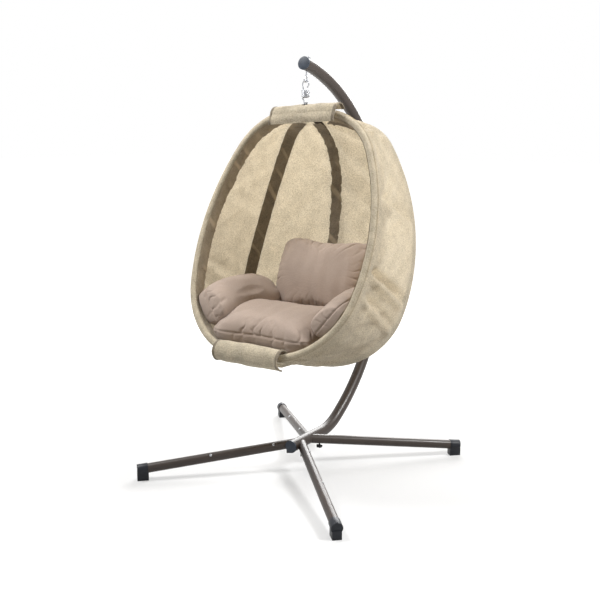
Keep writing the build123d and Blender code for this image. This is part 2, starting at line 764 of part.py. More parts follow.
def fill_space(width, depth, height):
    """Closed space for the loose filling, which weighs next to nothing."""
    end_at, end_deep, end_tall = FILL_END
    sections = []
    for place, deep, tall in ((-end_at, end_deep, end_tall), FILL_MIDDLE, FILL_END):
        a, b = depth * deep, height * tall
        flat = FILL_FLAT * a
        corners = [(-a, 0), (-flat, b), (flat, b), (a, 0), (flat, -b), (-flat, -b)]
        sections.append(across_width(place * width) * make_face(Polyline(*corners, close=True)))
    return loft(sections, ruled=True)


def cushion(size, end_thick, waist):
    """Stuffed cushion: thick in the middle, its ends thinner and its sides drawn in."""
    width, depth, height = size
    end = (0.5, PILLOW_END_DEPTH, end_thick)
    shoulder = (SHOULDER_AT, 1.0, SHOULDER_THICK)
    half = [shoulder, end]
    shapes = [(-at, deep, tall) for at, deep, tall in reversed(half)] + [(0.0, waist, 1.0)] + half
    sections = []
    for at, deep, tall in shapes:
        sections.append(across_width(at * width) * pillow_section(depth * deep, height * tall))
    return loft(sections) - fill_space(width, depth, height)


def settle(shape, way, supports, steps=6):
    """Move a cushion along a direction until it lies a small gap from what carries it."""
    for _ in range(steps):
        gap = min(shape.distance_to(other) for other in supports) - SOFT_GAP
        if gap < SOFT_GAP / 2:
            break
        shape = Pos(way * gap) * shape
    return shape


def main():
    stand = {
        "pole_lower": lower_pole(),
        "pole_upper": bolt_holes(upper_pole()),
        "pole_front_cap": end_cap(Vector(0, -RUN_FRONT, RUN_HEIGHT), Vector(0, -1, 0)),
        "eye_bolt": eye_bolt(),
        "eye_bolt_nut": hex_nut(NUT_SEAT, BOLT_UP, EYE_NUT_R, EYE_NUT, EYE_WIRE_R + STUD_FIT),
    }
    tip_angle = radians(FOOT_BEND_DEG + POLE_ARC_DEG)
    stand["pole_top_cap"] = end_cap(on_arc(POLE_ARC_DEG), Vector(0, cos(tip_angle), sin(tip_angle)))
    for name, leg in LEGS.items():
        stand[f"leg_{name}"] = leg_tube(leg)
        stand[f"foot_{name}"] = foot(leg)
        stand[f"leg_knob_{name}"] = knob(leg)
    bolts = [neck_bolt(*leg_bolt_seat(leg, at), LEG_BOLT_NECK) for leg in LEGS.values() for at in LEG_BOLT_AT]
    stand["leg_bolts"] = Compound(bolts)

    gear = {
        "spring": spring(),
        "hook_ring": wire_ring(Vector(0, HANG_Y, RING_CENTRE), Vector(1, 0, 0), RING_R, RING_WIRE_R),
        "swivel_eye": hanger(),
        "swivel_nut": hex_nut(Vector(0, HANG_Y, BOSS_LOW - SEAT_GAP), Vector(0, 0, -1),
                              HANGER_NUT_R, HANGER_NUT, HANGER_SHANK_R + STUD_FIT),
    }

    frame = {
        "top_hub": top_hub(),
        "bottom_hub": hub(BOTTOM_HUB, DOWN),
        "top_hub_bolts": Compound(socket_bolts(TOP_HUB, -DOWN)),
        "bottom_hub_bolts": Compound(socket_bolts(BOTTOM_HUB, DOWN)),
    }
    for name, rib in RIBS.items():
        frame[f"rib_{name}"] = rib_holes(rib, rib_tube(rib))

    cover = {
        "cover_left": panel(rim_edge("rim_left"), corner_edge("corner_left")),
        "cover_right": panel(rim_edge("rim_right"), corner_edge("corner_right")),
        "cover_back_left": panel(corner_edge("corner_left"), back_edge(-1)),
        "cover_back_right": panel(corner_edge("corner_right"), back_edge(1)),
        "rim_sleeve_left": rim_strip("rim_left"),
        "rim_sleeve_right": rim_strip("rim_right"),
        "rib_sleeve_left": corner_strip("corner_left"),
        "rib_sleeve_right": corner_strip("corner_right"),
        "rib_sleeve_back": back_strip(),
        "top_flap": settle(top_flap(), DOWN, [frame["top_hub"]]),
        "bottom_flap": settle(flap(BOTTOM_HUB, FLAP_BOTTOM_DEG), BACK, [frame["bottom_hub"]]),
    }

    wall_names = ("cover_right", "cover_back_right", "rib_sleeve_back", "rib_sleeve_right")
    walls = [cover[name] for name in wall_names]
    seat = Pos(*SEAT_PLACE) * Rot(SEAT_LEAN, 0, 0) * cushion(SEAT_SIZE, SEAT_END, FLAT_WAIST)
    seat = settle(seat, Vector(0, 0, -1), walls + [cover["rim_sleeve_right"], cover["bottom_flap"]])
    rest = Pos(*BACK_PLACE) * Rot(BACK_LEAN, 0, 0) * cushion(BACK_SIZE, BACK_END, FLAT_WAIST)
    rest = settle(rest, Vector(*BACK_WAY), walls[1:] + [seat])
    turned = Pos(*ARM_PLACE) * Rot(0, 0, ARM_TURN) * Rot(0, ARM_LEAN, 0)
    arm = turned * cushion(ARM_SIZE, ARM_END, ROUND_WAIST)
    arm = settle(arm, Vector(*ARM_WAY), [walls[0], walls[3], cover["rim_sleeve_right"], seat, rest])
    soft = {
        "seat_cushion": seat,
        "back_cushion": rest,
        "arm_cushion_right": arm,
        "arm_cushion_left": mirror(arm, Plane.YZ),
    }

    for group in (stand, gear, frame, cover, soft):
        for name, shape in group.items():
            save(shape, name)


main()
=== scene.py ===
"""Dresses the hanging chair: mesh cover, dark sleeves, flaps, stuffed cushions, spring and painted stand."""

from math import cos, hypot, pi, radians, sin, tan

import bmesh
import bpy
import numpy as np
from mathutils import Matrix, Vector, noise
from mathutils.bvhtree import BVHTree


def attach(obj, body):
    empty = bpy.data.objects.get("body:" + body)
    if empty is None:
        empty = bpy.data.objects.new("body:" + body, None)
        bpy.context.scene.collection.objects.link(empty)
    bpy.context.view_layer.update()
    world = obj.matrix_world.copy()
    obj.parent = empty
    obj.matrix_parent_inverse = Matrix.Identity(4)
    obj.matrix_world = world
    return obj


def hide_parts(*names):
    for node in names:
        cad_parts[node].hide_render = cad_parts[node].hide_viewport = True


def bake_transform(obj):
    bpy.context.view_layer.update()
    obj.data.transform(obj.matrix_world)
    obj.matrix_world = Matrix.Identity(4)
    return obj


bl_info = {
    "name": "Hanging Chair",
    "version": (1, 0, 0),
    "blender": (4, 5, 0),
    "location": "View3D > Sidebar > Hanging Chair",
    "description": "Cover, cushions, hardware and stand of a hanging egg chair",
    "category": "Object",
}

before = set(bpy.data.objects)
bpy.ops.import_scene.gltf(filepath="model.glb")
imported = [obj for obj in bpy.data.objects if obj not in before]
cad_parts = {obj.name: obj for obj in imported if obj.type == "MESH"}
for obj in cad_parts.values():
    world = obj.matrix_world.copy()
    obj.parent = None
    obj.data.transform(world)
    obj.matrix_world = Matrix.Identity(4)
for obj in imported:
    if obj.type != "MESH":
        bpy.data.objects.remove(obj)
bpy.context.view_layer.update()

# Photograph's camera
CAMERA_PLACE = (2.288, -3.388, 1.620)
CAMERA_TURN_DEG = 34.326
CAMERA_PITCH_DEG = -10.929
CAMERA_LENS_MM = 52.82
SENSOR_MM = 36.0

# Basket: ribs run from the top hub round to the bottom hub, in planes through a tilted axis.
# A rib's angles are in degrees, and each of its arcs is a radius and a turn.
BASKET_TILT = radians(23.3)
TOP_HUB = Vector((0.0, 0.021, 1.696))
HUB_SPAN = 1.135
DOWN = Vector((0.0, -sin(BASKET_TILT), -cos(BASKET_TILT)))
BACK = Vector((0.0, cos(BASKET_TILT), -sin(BASKET_TILT)))
BOTTOM_HUB = TOP_HUB + DOWN * HUB_SPAN
RIB_FORMS = {
    "rim": {
        "turn": 4.7,
        "rise": 0.0,
        "lead": 0.094,
        "arcs": ((0.2875, 63.4), (1.039, 38.0)),
        "tail": 0.0,
    },
    "corner": {
        "turn": 45.0,
        "rise": 3.75,
        "lead": 0.274,
        "arcs": ((0.164, 52.7), (0.942, 49.3)),
        "tail": 8.0,
    },
    "back": {
        "turn": 90.0,
        "rise": 0.0,
        "lead": 0.0845,
        "arcs": ((0.315, 64.7), (1.133, 30.4)),
        "tail": 0.0,
    },
}
ARC_STATIONS = 80
RAIL_STATIONS = 600

# Cover panels: cloth outside each rib and ahead of the rim, and how far from the axis it starts
RIM_PROUD = 0.0165
CORNER_PROUD = 0.0164
BACK_PROUD = 0.0124
CLOTH = 0.0025
RIM_FORWARD = 0.010
RIM_START = 0.150
CORNER_START = 0.105
BACK_START = 0.080
PANEL_ROWS = 160
PANEL_COLUMNS = 40
PANEL_LENGTH = 1.6
PANEL_WIDTH = 0.45

# Slanting folds of a panel: slant, distance between two folds and length of one
FOLD_SLANT = radians(38)
FOLD_SPACING = 0.075
FOLD_RUN = 0.4
RIPPLE_SIZE = 0.045
# Shares of a panel's width beside a rib: held flat, then eased
HELD_SHARE = 0.035
EASED_SHARE = 0.2

# Cloth round the ribs: the rolls and bands of the rim, and the bands of the other ribs.
# Each of those has its rib, how far inside the rib's line it lies and how far from the axis it starts.
SLEEVE_ROWS = 300
RIM_SLEEVE_START = 0.100
ROLL_LUMP = 0.0012
ROLL_FORWARD = 0.002
ROLL_ARC_DEG = range(112, -101, -14)
RIM_BAND_TUCK = 0.009
RIM_BAND_NARROWER = 0.006
RIB_BANDS = (
    ("rib_sleeve_left", "rib_corner_left", 0.0175, 0.105),
    ("rib_sleeve_right", "rib_corner_right", 0.0175, 0.105),
    ("rib_sleeve_back", "rib_back", 0.0135, 0.085),
)

# Flaps round the hubs: half length, radius round the hub, and each one's start, end and hanging skirt
FLAP_HALF = 0.175
FLAP_FIT = 0.0443
FLAP_SKIRT = 0.046
TOP_FLAP_DROP = 0.009
FLAP_ROWS = 64
FLAP_COLUMNS = 80
EYE_HOLE_R = 0.017
FLAPS = {
    "top_flap": {"from_deg": 47, "to_deg": 192, "skirt": FLAP_SKIRT, "seed": 31},
    "bottom_flap": {"from_deg": 60, "to_deg": 290, "skirt": 0.0, "seed": 35},
}
# Tape over a flap's ends: share of the half length and how proud of the flap, from the outside round
TAPE = ((0.94, 0.0012), (0.965, 0.0026), (1.0, 0.003), (1.014, 0.001), (1.014, -0.004), (0.94, -0.006))

# Rounded edges of the moulded pieces
FOOT_EDGE = 0.0035
KNOB_EDGE = 0.0015
CAP_EDGE = 0.003

# Hanging hardware
HANG_Y = 0.009
COIL_TURNS = 5
COIL_R = 0.017
COIL_TOP = 1.7963
COIL_LOW = 1.7648
SPRING_WIRE_R = 0.0028
LOOP_R = 0.0165
LOOP_CENTRE = 1.8238
HOOK_R = 0.0085
HOOK_CENTRE = 1.7438

# Studio: each lamp has its place, what it points at, the width of its square and its watts
LAMPS = {
    "key": ((-2.0, -1.4, 4.4), (0, 0, 0.9), 1.6, 185),
    "fill": ((3.1, 0.8, 3.6), (0, 0, 1.1), 0.9, 170),
    "behind": ((-1.2, 3.2, 2.2), (0, 0, 1.1), 2.6, 190),
}
WHITE = (1.0, 1.0, 1.0, 1.0)
AMBIENT_COLOUR = (1.0, 0.96, 0.88, 1.0)
AMBIENT_STRENGTH = 0.24
FLOOR_REACH = 40.0
FLOOR_COLOUR = (0.42, 0.42, 0.42, 1.0)
FLOOR_BOUNCE = (0.5, 0.5, 0.5, 1.0)
GLOW_NEAR = 0.9
GLOW_FAR = 3.5
GLOW_UNDER_CHAIR = 0.42
GLOW_AWAY = 1.0

# Cushions
CUSHION_VOXEL = 0.006
STUFFING_PRESSURE = 4.0
STUFFING_FRAMES = 20
SEAM_WIDTH = 0.004
EAR_THICKNESS = 0.012
WALL_SEARCH = 0.12
COVER_CLEARANCE = 0.004

# Sockets of a colour mix node
MIX_FIRST = 6
MIX_SECOND = 7
MIX_RESULT = 2

# At a scale of one, a wave texture has this many bands in a metre
WAVE_BANDS = 20.0 / (2.0 * pi)


# Small mesh and node helpers

def to_object(name, points, faces, smooth=True):
    mesh = bpy.data.meshes.new(name)
    mesh.from_pydata([tuple(point) for point in points], [], faces)
    mesh.validate()
    if smooth:
        mesh.shade_smooth()
    obj = bpy.data.objects.new(name, mesh)
    bpy.context.scene.collection.objects.link(obj)
    return obj


def grid_faces(rows, columns):
    faces = []
    for row in range(rows - 1):
        for column in range(columns - 1):
            corner = row * columns + column
            faces.append((corner, corner + 1, corner + columns + 1, corner + columns))
    return faces


def grid_object(name, points):
    """A sheet through rows and columns of points. Its longest row and column give its flat size."""
    rows, columns = points.shape[:2]
    return to_object(name, points.reshape(-1, 3), grid_faces(rows, columns))


def apply_modifiers(obj):
    """Bakes the modifiers into the mesh."""
    graph = bpy.context.evaluated_depsgraph_get()
    mesh = bpy.data.meshes.new_from_object(obj.evaluated_get(graph))
    obj.modifiers.clear()
    old = obj.data
    obj.data = mesh
    bpy.data.meshes.remove(old)
    return obj


def waves(point, size, seed):
    """Smooth noise from about -1 to 1 whose lumps are about that size in metres."""
    return noise.noise(Vector(point) / size + Vector((seed * 7.3, seed * 3.1, seed * 5.7)))


def finish_piece(obj, body, slot, finish, *nodes):
    """Paints a piece, puts it on its body and hides the CAD nodes it stands for. Its slot is not used."""
    obj.data.materials.clear()
    obj.data.materials.append(material(finish))
    if body:
        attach(obj, body)
    if nodes:
        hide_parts(*nodes)
    return obj


# Materials

class Shader:
    """A node tree with a principled surface, built up call by call."""

    def __init__(self, name, roughness, metallic=0.0):
        self.material = bpy.data.materials.new(name)
        self.material.use_nodes = True
        self.tree = self.material.node_tree
        self.surface = self.tree.nodes["Principled BSDF"]
        self.output = self.tree.nodes["Material Output"]
        self.surface.inputs["Roughness"].default_value = roughness
        self.surface.inputs["Metallic"].default_value = metallic
        self.place = self.node("ShaderNodeTexCoord").outputs["Object"]

    def node(self, kind, **values):
        made = self.tree.nodes.new(kind)
        for key, value in values.items():
            setattr(made, key, value)
        return made

    def link(self, source, target):
        self.tree.links.new(source, target)

    def noise(self, size, detail=2.0):
        """Noise whose lumps are about that size in metres."""
        texture = self.node("ShaderNodeTexNoise")
        texture.inputs["Scale"].default_value = 1.0 / size
        texture.inputs["Detail"].default_value = detail
        self.link(self.place, texture.inputs["Vector"])
        return texture.outputs["Fac"]

    def weave(self, pitch):
        """Crossed threads at that pitch in metres."""
        total = None
        for axis in ("X", "Y", "Z"):
            wave = self.node("ShaderNodeTexWave", bands_direction=axis)
            wave.inputs["Scale"].default_value = 1.0 / (pitch * WAVE_BANDS)
            wave.inputs["Distortion"].default_value = 1.5
            self.link(self.place, wave.inputs["Vector"])
            total = wave.outputs["Fac"] if total is None else self.combine("ADD", total, wave.outputs["Fac"])
        return total

    def slanted_lines(self, pitch):
        """Thin slanting lines that come and go, about that far apart in metres."""
        wave = self.node("ShaderNodeTexWave", bands_direction="DIAGONAL")
        wave.inputs["Scale"].default_value = 1.0 / (pitch * WAVE_BANDS)
        wave.inputs["Distortion"].default_value = 3.0
        wave.inputs["Detail"].default_value = 1.0
        wave.inputs["Detail Scale"].default_value = 0.6
        self.link(self.place, wave.inputs["Vector"])
        thin = self.ramp(wave.outputs["Fac"], (0.8, (0, 0, 0)), (0.97, (1, 1, 1)))
        shown = self.ramp(self.noise(0.11, 1.0), (0.45, (0, 0, 0)), (0.6, (1, 1, 1)))
        return self.combine("MULTIPLY", thin, shown)

    def times(self, value, factor):
        product = self.node("ShaderNodeMath", operation="MULTIPLY")
        product.inputs[1].default_value = factor
        self.link(value, product.inputs[0])
        return product.outputs[0]

    def combine(self, operation, first, second):
        result = self.node("ShaderNodeMath", operation=operation)
        self.link(first, result.inputs[0])
        self.link(second, result.inputs[1])
        return result.outputs[0]

    def ramp(self, value, *stops):
        """Colours at places from 0 to 1."""
        made = self.node("ShaderNodeValToRGB")
        elements = made.color_ramp.elements
        while len(elements) < len(stops):
            elements.new(0.5)
        for element, (place, colour) in zip(elements, stops):
            element.position = place
            element.color = (*colour, 1.0)
        self.link(value, made.inputs["Fac"])
        return made.outputs["Color"]

    def mix_colours(self, first, second, share):
        """The first colour with that share of the second."""
        mix = self.node("ShaderNodeMix", data_type="RGBA")
        mix.inputs["Factor"].default_value = share
        self.link(first, mix.inputs[MIX_FIRST])
        self.link(second, mix.inputs[MIX_SECOND])
        return mix.outputs[MIX_RESULT]

    def fade(self, first, plain_colour, where):
        """The first colour, with a plain colour laid over it where a value is high."""
        mix = self.node("ShaderNodeMix", data_type="RGBA")
        mix.inputs[MIX_SECOND].default_value = (*plain_colour, 1.0)
        self.link(where, mix.inputs["Factor"])
        self.link(first, mix.inputs[MIX_FIRST])
        return mix.outputs[MIX_RESULT]

    def colour(self, source):
        self.link(source, self.surface.inputs["Base Color"])

    def set_surface(self, **values):
        """Plain values of the surface, by socket name with an underscore for each space."""
        for name, value in values.items():
            self.surface.inputs[name.replace("_", " ")].default_value = value

    def roughness(self, value, low, high):
        scaled = self.node("ShaderNodeMapRange")
        scaled.inputs["To Min"].default_value = low
        scaled.inputs["To Max"].default_value = high
        self.link(value, scaled.inputs["Value"])
        self.link(scaled.outputs["Result"], self.surface.inputs["Roughness"])

    def bump(self, value, depth, strength):
        made = self.node("ShaderNodeBump")
        made.inputs["Distance"].default_value = depth
        made.inputs["Strength"].default_value = strength
        self.link(value, made.inputs["Height"])
        self.link(made.outputs["Normal"], self.surface.inputs["Normal"])

    def let_light_through(self, share, colour):
        """Thin cloth: part of the light goes through to the other side."""
        through = self.node("ShaderNodeBsdfTranslucent")
        self.link(colour, through.inputs["Color"])
        mix = self.node("ShaderNodeMixShader")
        mix.inputs["Fac"].default_value = share
        self.link(self.surface.outputs["BSDF"], mix.inputs[1])
        self.link(through.outputs["BSDF"], mix.inputs[2])
        self.link(mix.outputs["Shader"], self.output.inputs["Surface"])


def shade(colour, factor):
    return tuple(min(1.0, part * factor) for part in colour)


def mesh_cloth(name, colour, speck, through=0.0, crease=0.0, wear_and_highlight=0.0):
    """Woven sling mesh: pale threads with darker specks, light coming through, and crease lines painted
    lighter, partly wear and partly a painted highlight on the crease ridges.
    """
    shader = Shader(name, 0.85)
    specks = shader.ramp(shader.noise(0.0048, 5.0), (0.34, speck), (0.62, shade(colour, 1.08)))
    low, high = shade(colour, 0.8 - crease), shade(colour, 1.1 + crease)
    patches = shader.ramp(shader.noise(0.06, 4.0), (0.36, low), (0.62, high))
    threads = shader.mix_colours(specks, patches, 0.4)
    height = shader.weave(0.003)
    # Slanting crease lines painted lighter: partly wear, partly a painted highlight along the ridges of the
    # creases.
    if wear_and_highlight:
        line = shader.slanted_lines(0.07)
        threads = shader.fade(threads, shade(colour, 1.0 + wear_and_highlight), line)
        height = shader.combine("ADD", height, shader.times(line, 5.0))
    shader.colour(threads)
    shader.set_surface(Sheen_Weight=0.25)
    shader.bump(height, 0.0008, 0.7)
    if through:
        shader.let_light_through(through, threads)
    return shader.material


def cushion_cloth(name, colour):
    """Soft brushed cloth with a fine weave and slight cloudy wear."""
    shader = Shader(name, 0.88)
    clouds = shader.ramp(shader.noise(0.11, 3.0), (0.3, shade(colour, 0.9)), (0.7, shade(colour, 1.08)))
    threads = shader.ramp(shader.noise(0.004, 2.0), (0.3, shade(colour, 0.86)), (0.7, shade(colour, 1.1)))
    shader.colour(shader.mix_colours(clouds, threads, 0.4))
    shader.set_surface(Sheen_Weight=0.25, Sheen_Roughness=0.5)
    shader.bump(shader.weave(0.0022), 0.0004, 0.5)
    return shader.material


def painted_steel(name, colour, gloss=0.36):
    """Smooth satin paint over steel, its gloss a little uneven."""
    shader = Shader(name, 0.28)
    shader.colour(shader.ramp(shader.noise(0.09), (0.35, shade(colour, 0.92)), (0.65, shade(colour, 1.1))))
    shader.roughness(shader.noise(0.2, 1.0), 0.36, 0.42)
    shader.set_surface(Coat_Weight=0.1, Coat_Roughness=0.12, Specular_IOR_Level=gloss)
    return shader.material


def moulded_plastic(name, colour, roughness):
    """Moulded plastic with a fine grain."""
    shader = Shader(name, roughness)
    shader.set_surface(Specular_IOR_Level=0.3)
    shader.colour(shader.ramp(shader.noise(0.02), (0.3, shade(colour, 0.85)), (0.7, shade(colour, 1.25))))
    shader.roughness(shader.noise(0.006), roughness * 0.85, min(1.0, roughness * 1.15))
    shader.bump(shader.noise(0.0012, 2.0), 0.0002, 0.5)
    return shader.material


def bright_metal(name, colour, low, high):
    """Plated or cast metal with fine marks in its shine."""
    shader = Shader(name, low, metallic=1.0)
    shader.colour(shader.ramp(shader.noise(0.01), (0.3, shade(colour, 0.85)), (0.7, shade(colour, 1.1))))
    shader.roughness(shader.noise(0.004, 3.0), low, high)
    return shader.material


MADE = {}


def material(name):
    """Each finish is made once, from the chair's settings."""
    if name not in MADE:
        chair = bpy.context.scene.hanging_chair
        cover, speck, band = tuple(chair.cover_colour), tuple(chair.speck_colour), tuple(chair.band_colour)
        cushion, stand = tuple(chair.cushion_colour), tuple(chair.stand_colour)
        # The rim band is the bands' colour painted half again lighter: painted light, making up for the shade
        # inside the rolled rim.
        band_with_painted_light = shade(band, 1.5)
        makers = {
            "cover": lambda: mesh_cloth("cover_mesh", cover, speck, through=0.32),
            "roll": lambda: mesh_cloth("rim_mesh", shade(cover, 0.8), speck, crease=0.1),
            "flap": lambda: mesh_cloth("flap_mesh", shade(cover, 0.82), shade(speck, 0.8), 0.1, 0.1),
            "band": lambda: mesh_cloth("band_mesh", band, shade(band, 0.55), 0.1, 0.15, wear_and_highlight=0.55),
            "rim_band": lambda: mesh_cloth("rim_band_mesh", band_with_painted_light, band, 0.15, 0.12, wear_and_highlight=0.4),
            "cushion": lambda: cushion_cloth("cushion_cloth", cushion),
            "steel": lambda: painted_steel("bronze_paint", stand),
            "rib": lambda: painted_steel("rib_paint", shade(stand, 1.3)),
            "foot": lambda: moulded_plastic("foot_plastic", (0.010, 0.012, 0.017), 0.42),
            "knob": lambda: moulded_plastic("knob_plastic", (0.010, 0.010, 0.012), 0.42),
            "cap": lambda: moulded_plastic("cap_plastic", (0.032, 0.042, 0.060), 0.42),
            "zinc": lambda: bright_metal("zinc_plate", (0.45, 0.46, 0.48), 0.22, 0.38),
            "spring": lambda: bright_metal("spring_steel", (0.40, 0.41, 0.43), 0.2, 0.34),
            "ring": lambda: painted_steel("ring_black", (0.008, 0.008, 0.010), gloss=0.15),
            "alloy": lambda: bright_metal("cast_alloy", (0.36, 0.34, 0.32), 0.35, 0.5),
        }
        MADE[name] = makers[name]()
    return MADE[name]


# Ribs and what follows them

class Rib:
    """The centre line of a bent rib, as reach from the axis, depth along it and heading."""

    def __init__(self, form, side):
        shape = RIB_FORMS[form]
        turn = radians(shape["turn"])
        self.out = Vector((side * cos(turn), 0, 0)) + BACK * sin(turn)
        self.across = DOWN.cross(self.out)
        rise, tail, lead = radians(shape["rise"]), radians(shape["tail"]), shape["lead"]
        (r1, a1), (r2, a2) = shape["arcs"]
        headings = [-rise, -rise + radians(a1), -rise + radians(a1 + a2), pi - tail]
        drop = r1 * (cos(headings[0]) - cos(headings[1])) + r2 * (cos(headings[1]) - cos(headings[2]))
        drop -= lead * tan(rise)
        reached = lead + r1 * (sin(headings[1]) - sin(headings[0]))
        reached += r2 * (sin(headings[2]) - sin(headings[1]))
        turned = cos(headings[2]) - cos(headings[3])
        turned += (sin(headings[3]) - sin(headings[2])) * tan(tail)
        r3 = (HUB_SPAN - drop - reached * tan(tail)) / turned
        self.stations = [(0.0, 0.0, headings[0])]
        reach, depth = lead, -lead * tan(rise)
        for radius, start, end in zip((r1, r2, r3), headings, headings[1:]):
            centre = (reach - radius * sin(start), depth + radius * cos(start))
            for heading in np.linspace(start, end, ARC_STATIONS):
                spot = (centre[0] + radius * sin(heading), centre[1] - radius * cos(heading))
                self.stations.append((*spot, heading))
            reach, depth = self.stations[-1][:2]
        self.stations.append((0.0, HUB_SPAN, headings[3]))

    def rail(self, count, proud=0.0, lateral=0.0, start=0.0):
        """Points and outward normals, evenly spaced, on a line beside the rib."""
        table = np.array(self.stations)
        reach = table[:, 0] + proud * np.sin(table[:, 2])
        depth = table[:, 1] - proud * np.cos(table[:, 2])
        far = int(np.argmax(reach))
        first = np.interp(start, reach[: far + 1], np.arange(far + 1))
        last = np.interp(-start, -reach[far:], np.arange(far, len(reach)))
        fine = np.linspace(first, last, RAIL_STATIONS)
        steps = np.arange(len(reach))
        line = np.stack([np.interp(fine, steps, column) for column in (reach, depth, table[:, 2])], axis=1)
        travel = np.concatenate([[0], np.cumsum(np.hypot(*np.diff(line[:, :2], axis=0).T))])
        even = np.linspace(0, travel[-1], count)
        reach, depth, heading = (np.interp(even, travel, line[:, k])[:, None] for k in range(3))
        out, down, across = (np.array(v)[None, :] for v in (self.out, DOWN, self.across))
        points = np.array(TOP_HUB)[None, :] + out * reach + down * depth + across * lateral
        normals = out * np.sin(heading) - down * np.cos(heading)
        return points, normals


SIDES = {"left": -1, "right": 1}
RIBS = {f"rib_{form}_{name}": Rib(form, side) for form in ("rim", "corner") for name, side in SIDES.items()}
RIBS["rib_back"] = Rib("back", 1)
WALLS = []


def forward(rib):
    """The side of a rim rib that faces the open front."""
    return -1.0 if rib.across.y > 0 else 1.0


# Long folds of the slack side panels: share of the length at the rim and at the corner rib, depth and width
SIDE_FOLDS = (
    (0.578, 0.588, 0.038, 0.024),
    (0.650, 0.662, 0.020, 0.020),
    (0.350, 0.380, 0.020, 0.028),
    (0.100, 0.150, 0.012, 0.024),
)
SIDE_SLACK = {"cover_right_cloth": 1.0, "cover_left_cloth": 0.25}


def long_folds(along, across):
    """How far the long folds lift the cloth at a place on a side panel."""
    lift = 0.0
    for rim, corner, depth, width in SIDE_FOLDS:
        off = (along - rim - (corner - rim) * across) * PANEL_LENGTH / width
        lift += depth * (0.9 * np.exp(-((off - 1.4) ** 2)) - np.exp(-(off * off)))
    return lift


def panel(name, first, second, seed, settings):
    """One cover panel between two rails, bowed a little, with slanting folds that grow towards both ends."""
    rows, columns = PANEL_ROWS, PANEL_COLUMNS
    share = np.linspace(0, 1, columns)[None, :, None]
    points = first[0][:, None, :] * (1 - share) + second[0][:, None, :] * share
    normals = first[1][:, None, :] * (1 - share) + second[1][:, None, :] * share
    normals /= np.linalg.norm(normals, axis=2, keepdims=True)
    slant_cos, slant_sin = cos(FOLD_SLANT), sin(FOLD_SLANT)
    for row in range(rows):
        along = row / (rows - 1)
        slack = 0.3 + 0.7 * abs(2 * along - 1)
        bow = settings.cover_bow * (1 - 2 * along)
        for column in range(columns):
            across = column / (columns - 1)
            inset = min(1.0, max(0.0, (min(across, 1 - across) - HELD_SHARE) / EASED_SHARE))
            held = inset * inset * (3 - 2 * inset)
            down, over = along * PANEL_LENGTH, across * PANEL_WIDTH
            past = (down * slant_cos + over * slant_sin) / FOLD_SPACING
            beside = (over * slant_cos - down * slant_sin) / FOLD_RUN
            folds = noise.noise(Vector((past, beside, seed)))
            folds -= 0.6 * abs(noise.noise(Vector((past * 1.7, beside, seed + 9.0))))
            ripple = waves(points[row, column], RIPPLE_SIZE, seed + 4)
            lift = held * (settings.fold_depth * slack * (folds + 0.25 * ripple) - bow)
            if name in SIDE_SLACK:
                lift += held * SIDE_SLACK[name] * long_folds(along, across)
            points[row, column] += normals[row, column] * lift
    return grid_object(name, points)


def sweep(name, rail, forward_axis, profile, seed, lumps):
    """Cloth swept along a rail: profile gives (forward, outward) places, lumps how far each wanders."""
    points, normals = rail
    ahead = np.array(forward_axis)
    travel = np.concatenate([[0], np.cumsum(np.linalg.norm(np.diff(points, axis=0), axis=1))])
    rows = []
    for spot, normal, along in zip(points, normals, travel):
        row = []
        for (front, out), lump in zip(profile, lumps):
            ripple = noise.noise(Vector(((along + 1.2 * front) / 0.028, front / 0.05, seed)))
            swell = noise.noise(Vector((along / 0.07, front / 0.09, seed + 5)))
            slanted = ((along + 0.9 * front) / 0.06, (front - 0.4 * along) / 0.12, seed + 8)
            pinch = noise.noise(Vector(slanted))
            wander = lump * (ripple + 0.6 * swell)
            wander -= 1.3 * lump * max(0.0, 1.0 - abs(pinch) / 0.1)
            row.append(spot + ahead * (front + wander * 0.4) + normal * (out + wander))
        rows.append(row)
    return grid_object(name, np.array(rows))


class ChairSettings(bpy.types.PropertyGroup):
    """Sizes and colours of the chair's soft and painted pieces."""

    cover_colour: bpy.props.FloatVectorProperty(
        name="Cover",
        description="Colour of the cover's threads",
        subtype="COLOR",
        default=(0.73, 0.64, 0.48),
    )
    speck_colour: bpy.props.FloatVectorProperty(
        name="Specks",
        description="Colour of the cover's dark threads",
        subtype="COLOR",
        default=(0.36, 0.28, 0.17),
    )
    band_colour: bpy.props.FloatVectorProperty(
        name="Bands",
        description="Colour of the doubled cloth over the ribs",
        subtype="COLOR",
        default=(0.27, 0.222, 0.157),
    )
    cushion_colour: bpy.props.FloatVectorProperty(
        name="Cushions",
        description="Colour of the cushions' cloth",
        subtype="COLOR",
        default=(0.43, 0.335, 0.275),
    )
    stand_colour: bpy.props.FloatVectorProperty(
        name="Stand",
        description="Colour of the stand's paint",
        subtype="COLOR",
        default=(0.040, 0.028, 0.0215),
    )
    fold_depth: bpy.props.FloatProperty(
        name="Fold depth",
        description="How far the slack cover's folds stand out",
        default=0.026,
        unit="LENGTH",
    )
    cover_bow: bpy.props.FloatProperty(
        name="Cover bow",
        description="How far a panel bows in at the top and out at the seat",
        default=0.006,
        unit="LENGTH",
    )
    roll_radius: bpy.props.FloatProperty(
        name="Rim roll", description="Radius of the rolled cloth round the rim", default=0.0165, unit="LENGTH"
    )
    band_width: bpy.props.FloatProperty(
        name="Band width", description="Width of the dark cloth along a rib", default=0.058, unit="LENGTH"
    )
    seam_depth: bpy.props.FloatProperty(
        name="Seam depth", description="How deep a cushion's seam is drawn in", default=0.006, unit="LENGTH"
    )
    pleat_depth: bpy.props.FloatProperty(
        name="Pleat depth", description="Depth of the pleats beside a seam", default=0.018, unit="LENGTH"
    )
    stuffing_cap: bpy.props.FloatProperty(
        name="Stuffing", description="Most that stuffing may push the cloth out", default=0.010, unit="LENGTH"
    )


class Dresser:
    """Shared by the chair's operators."""

    bl_options = {"REGISTER"}

    @property
    def settings(self):
        return bpy.context.scene.hanging_chair


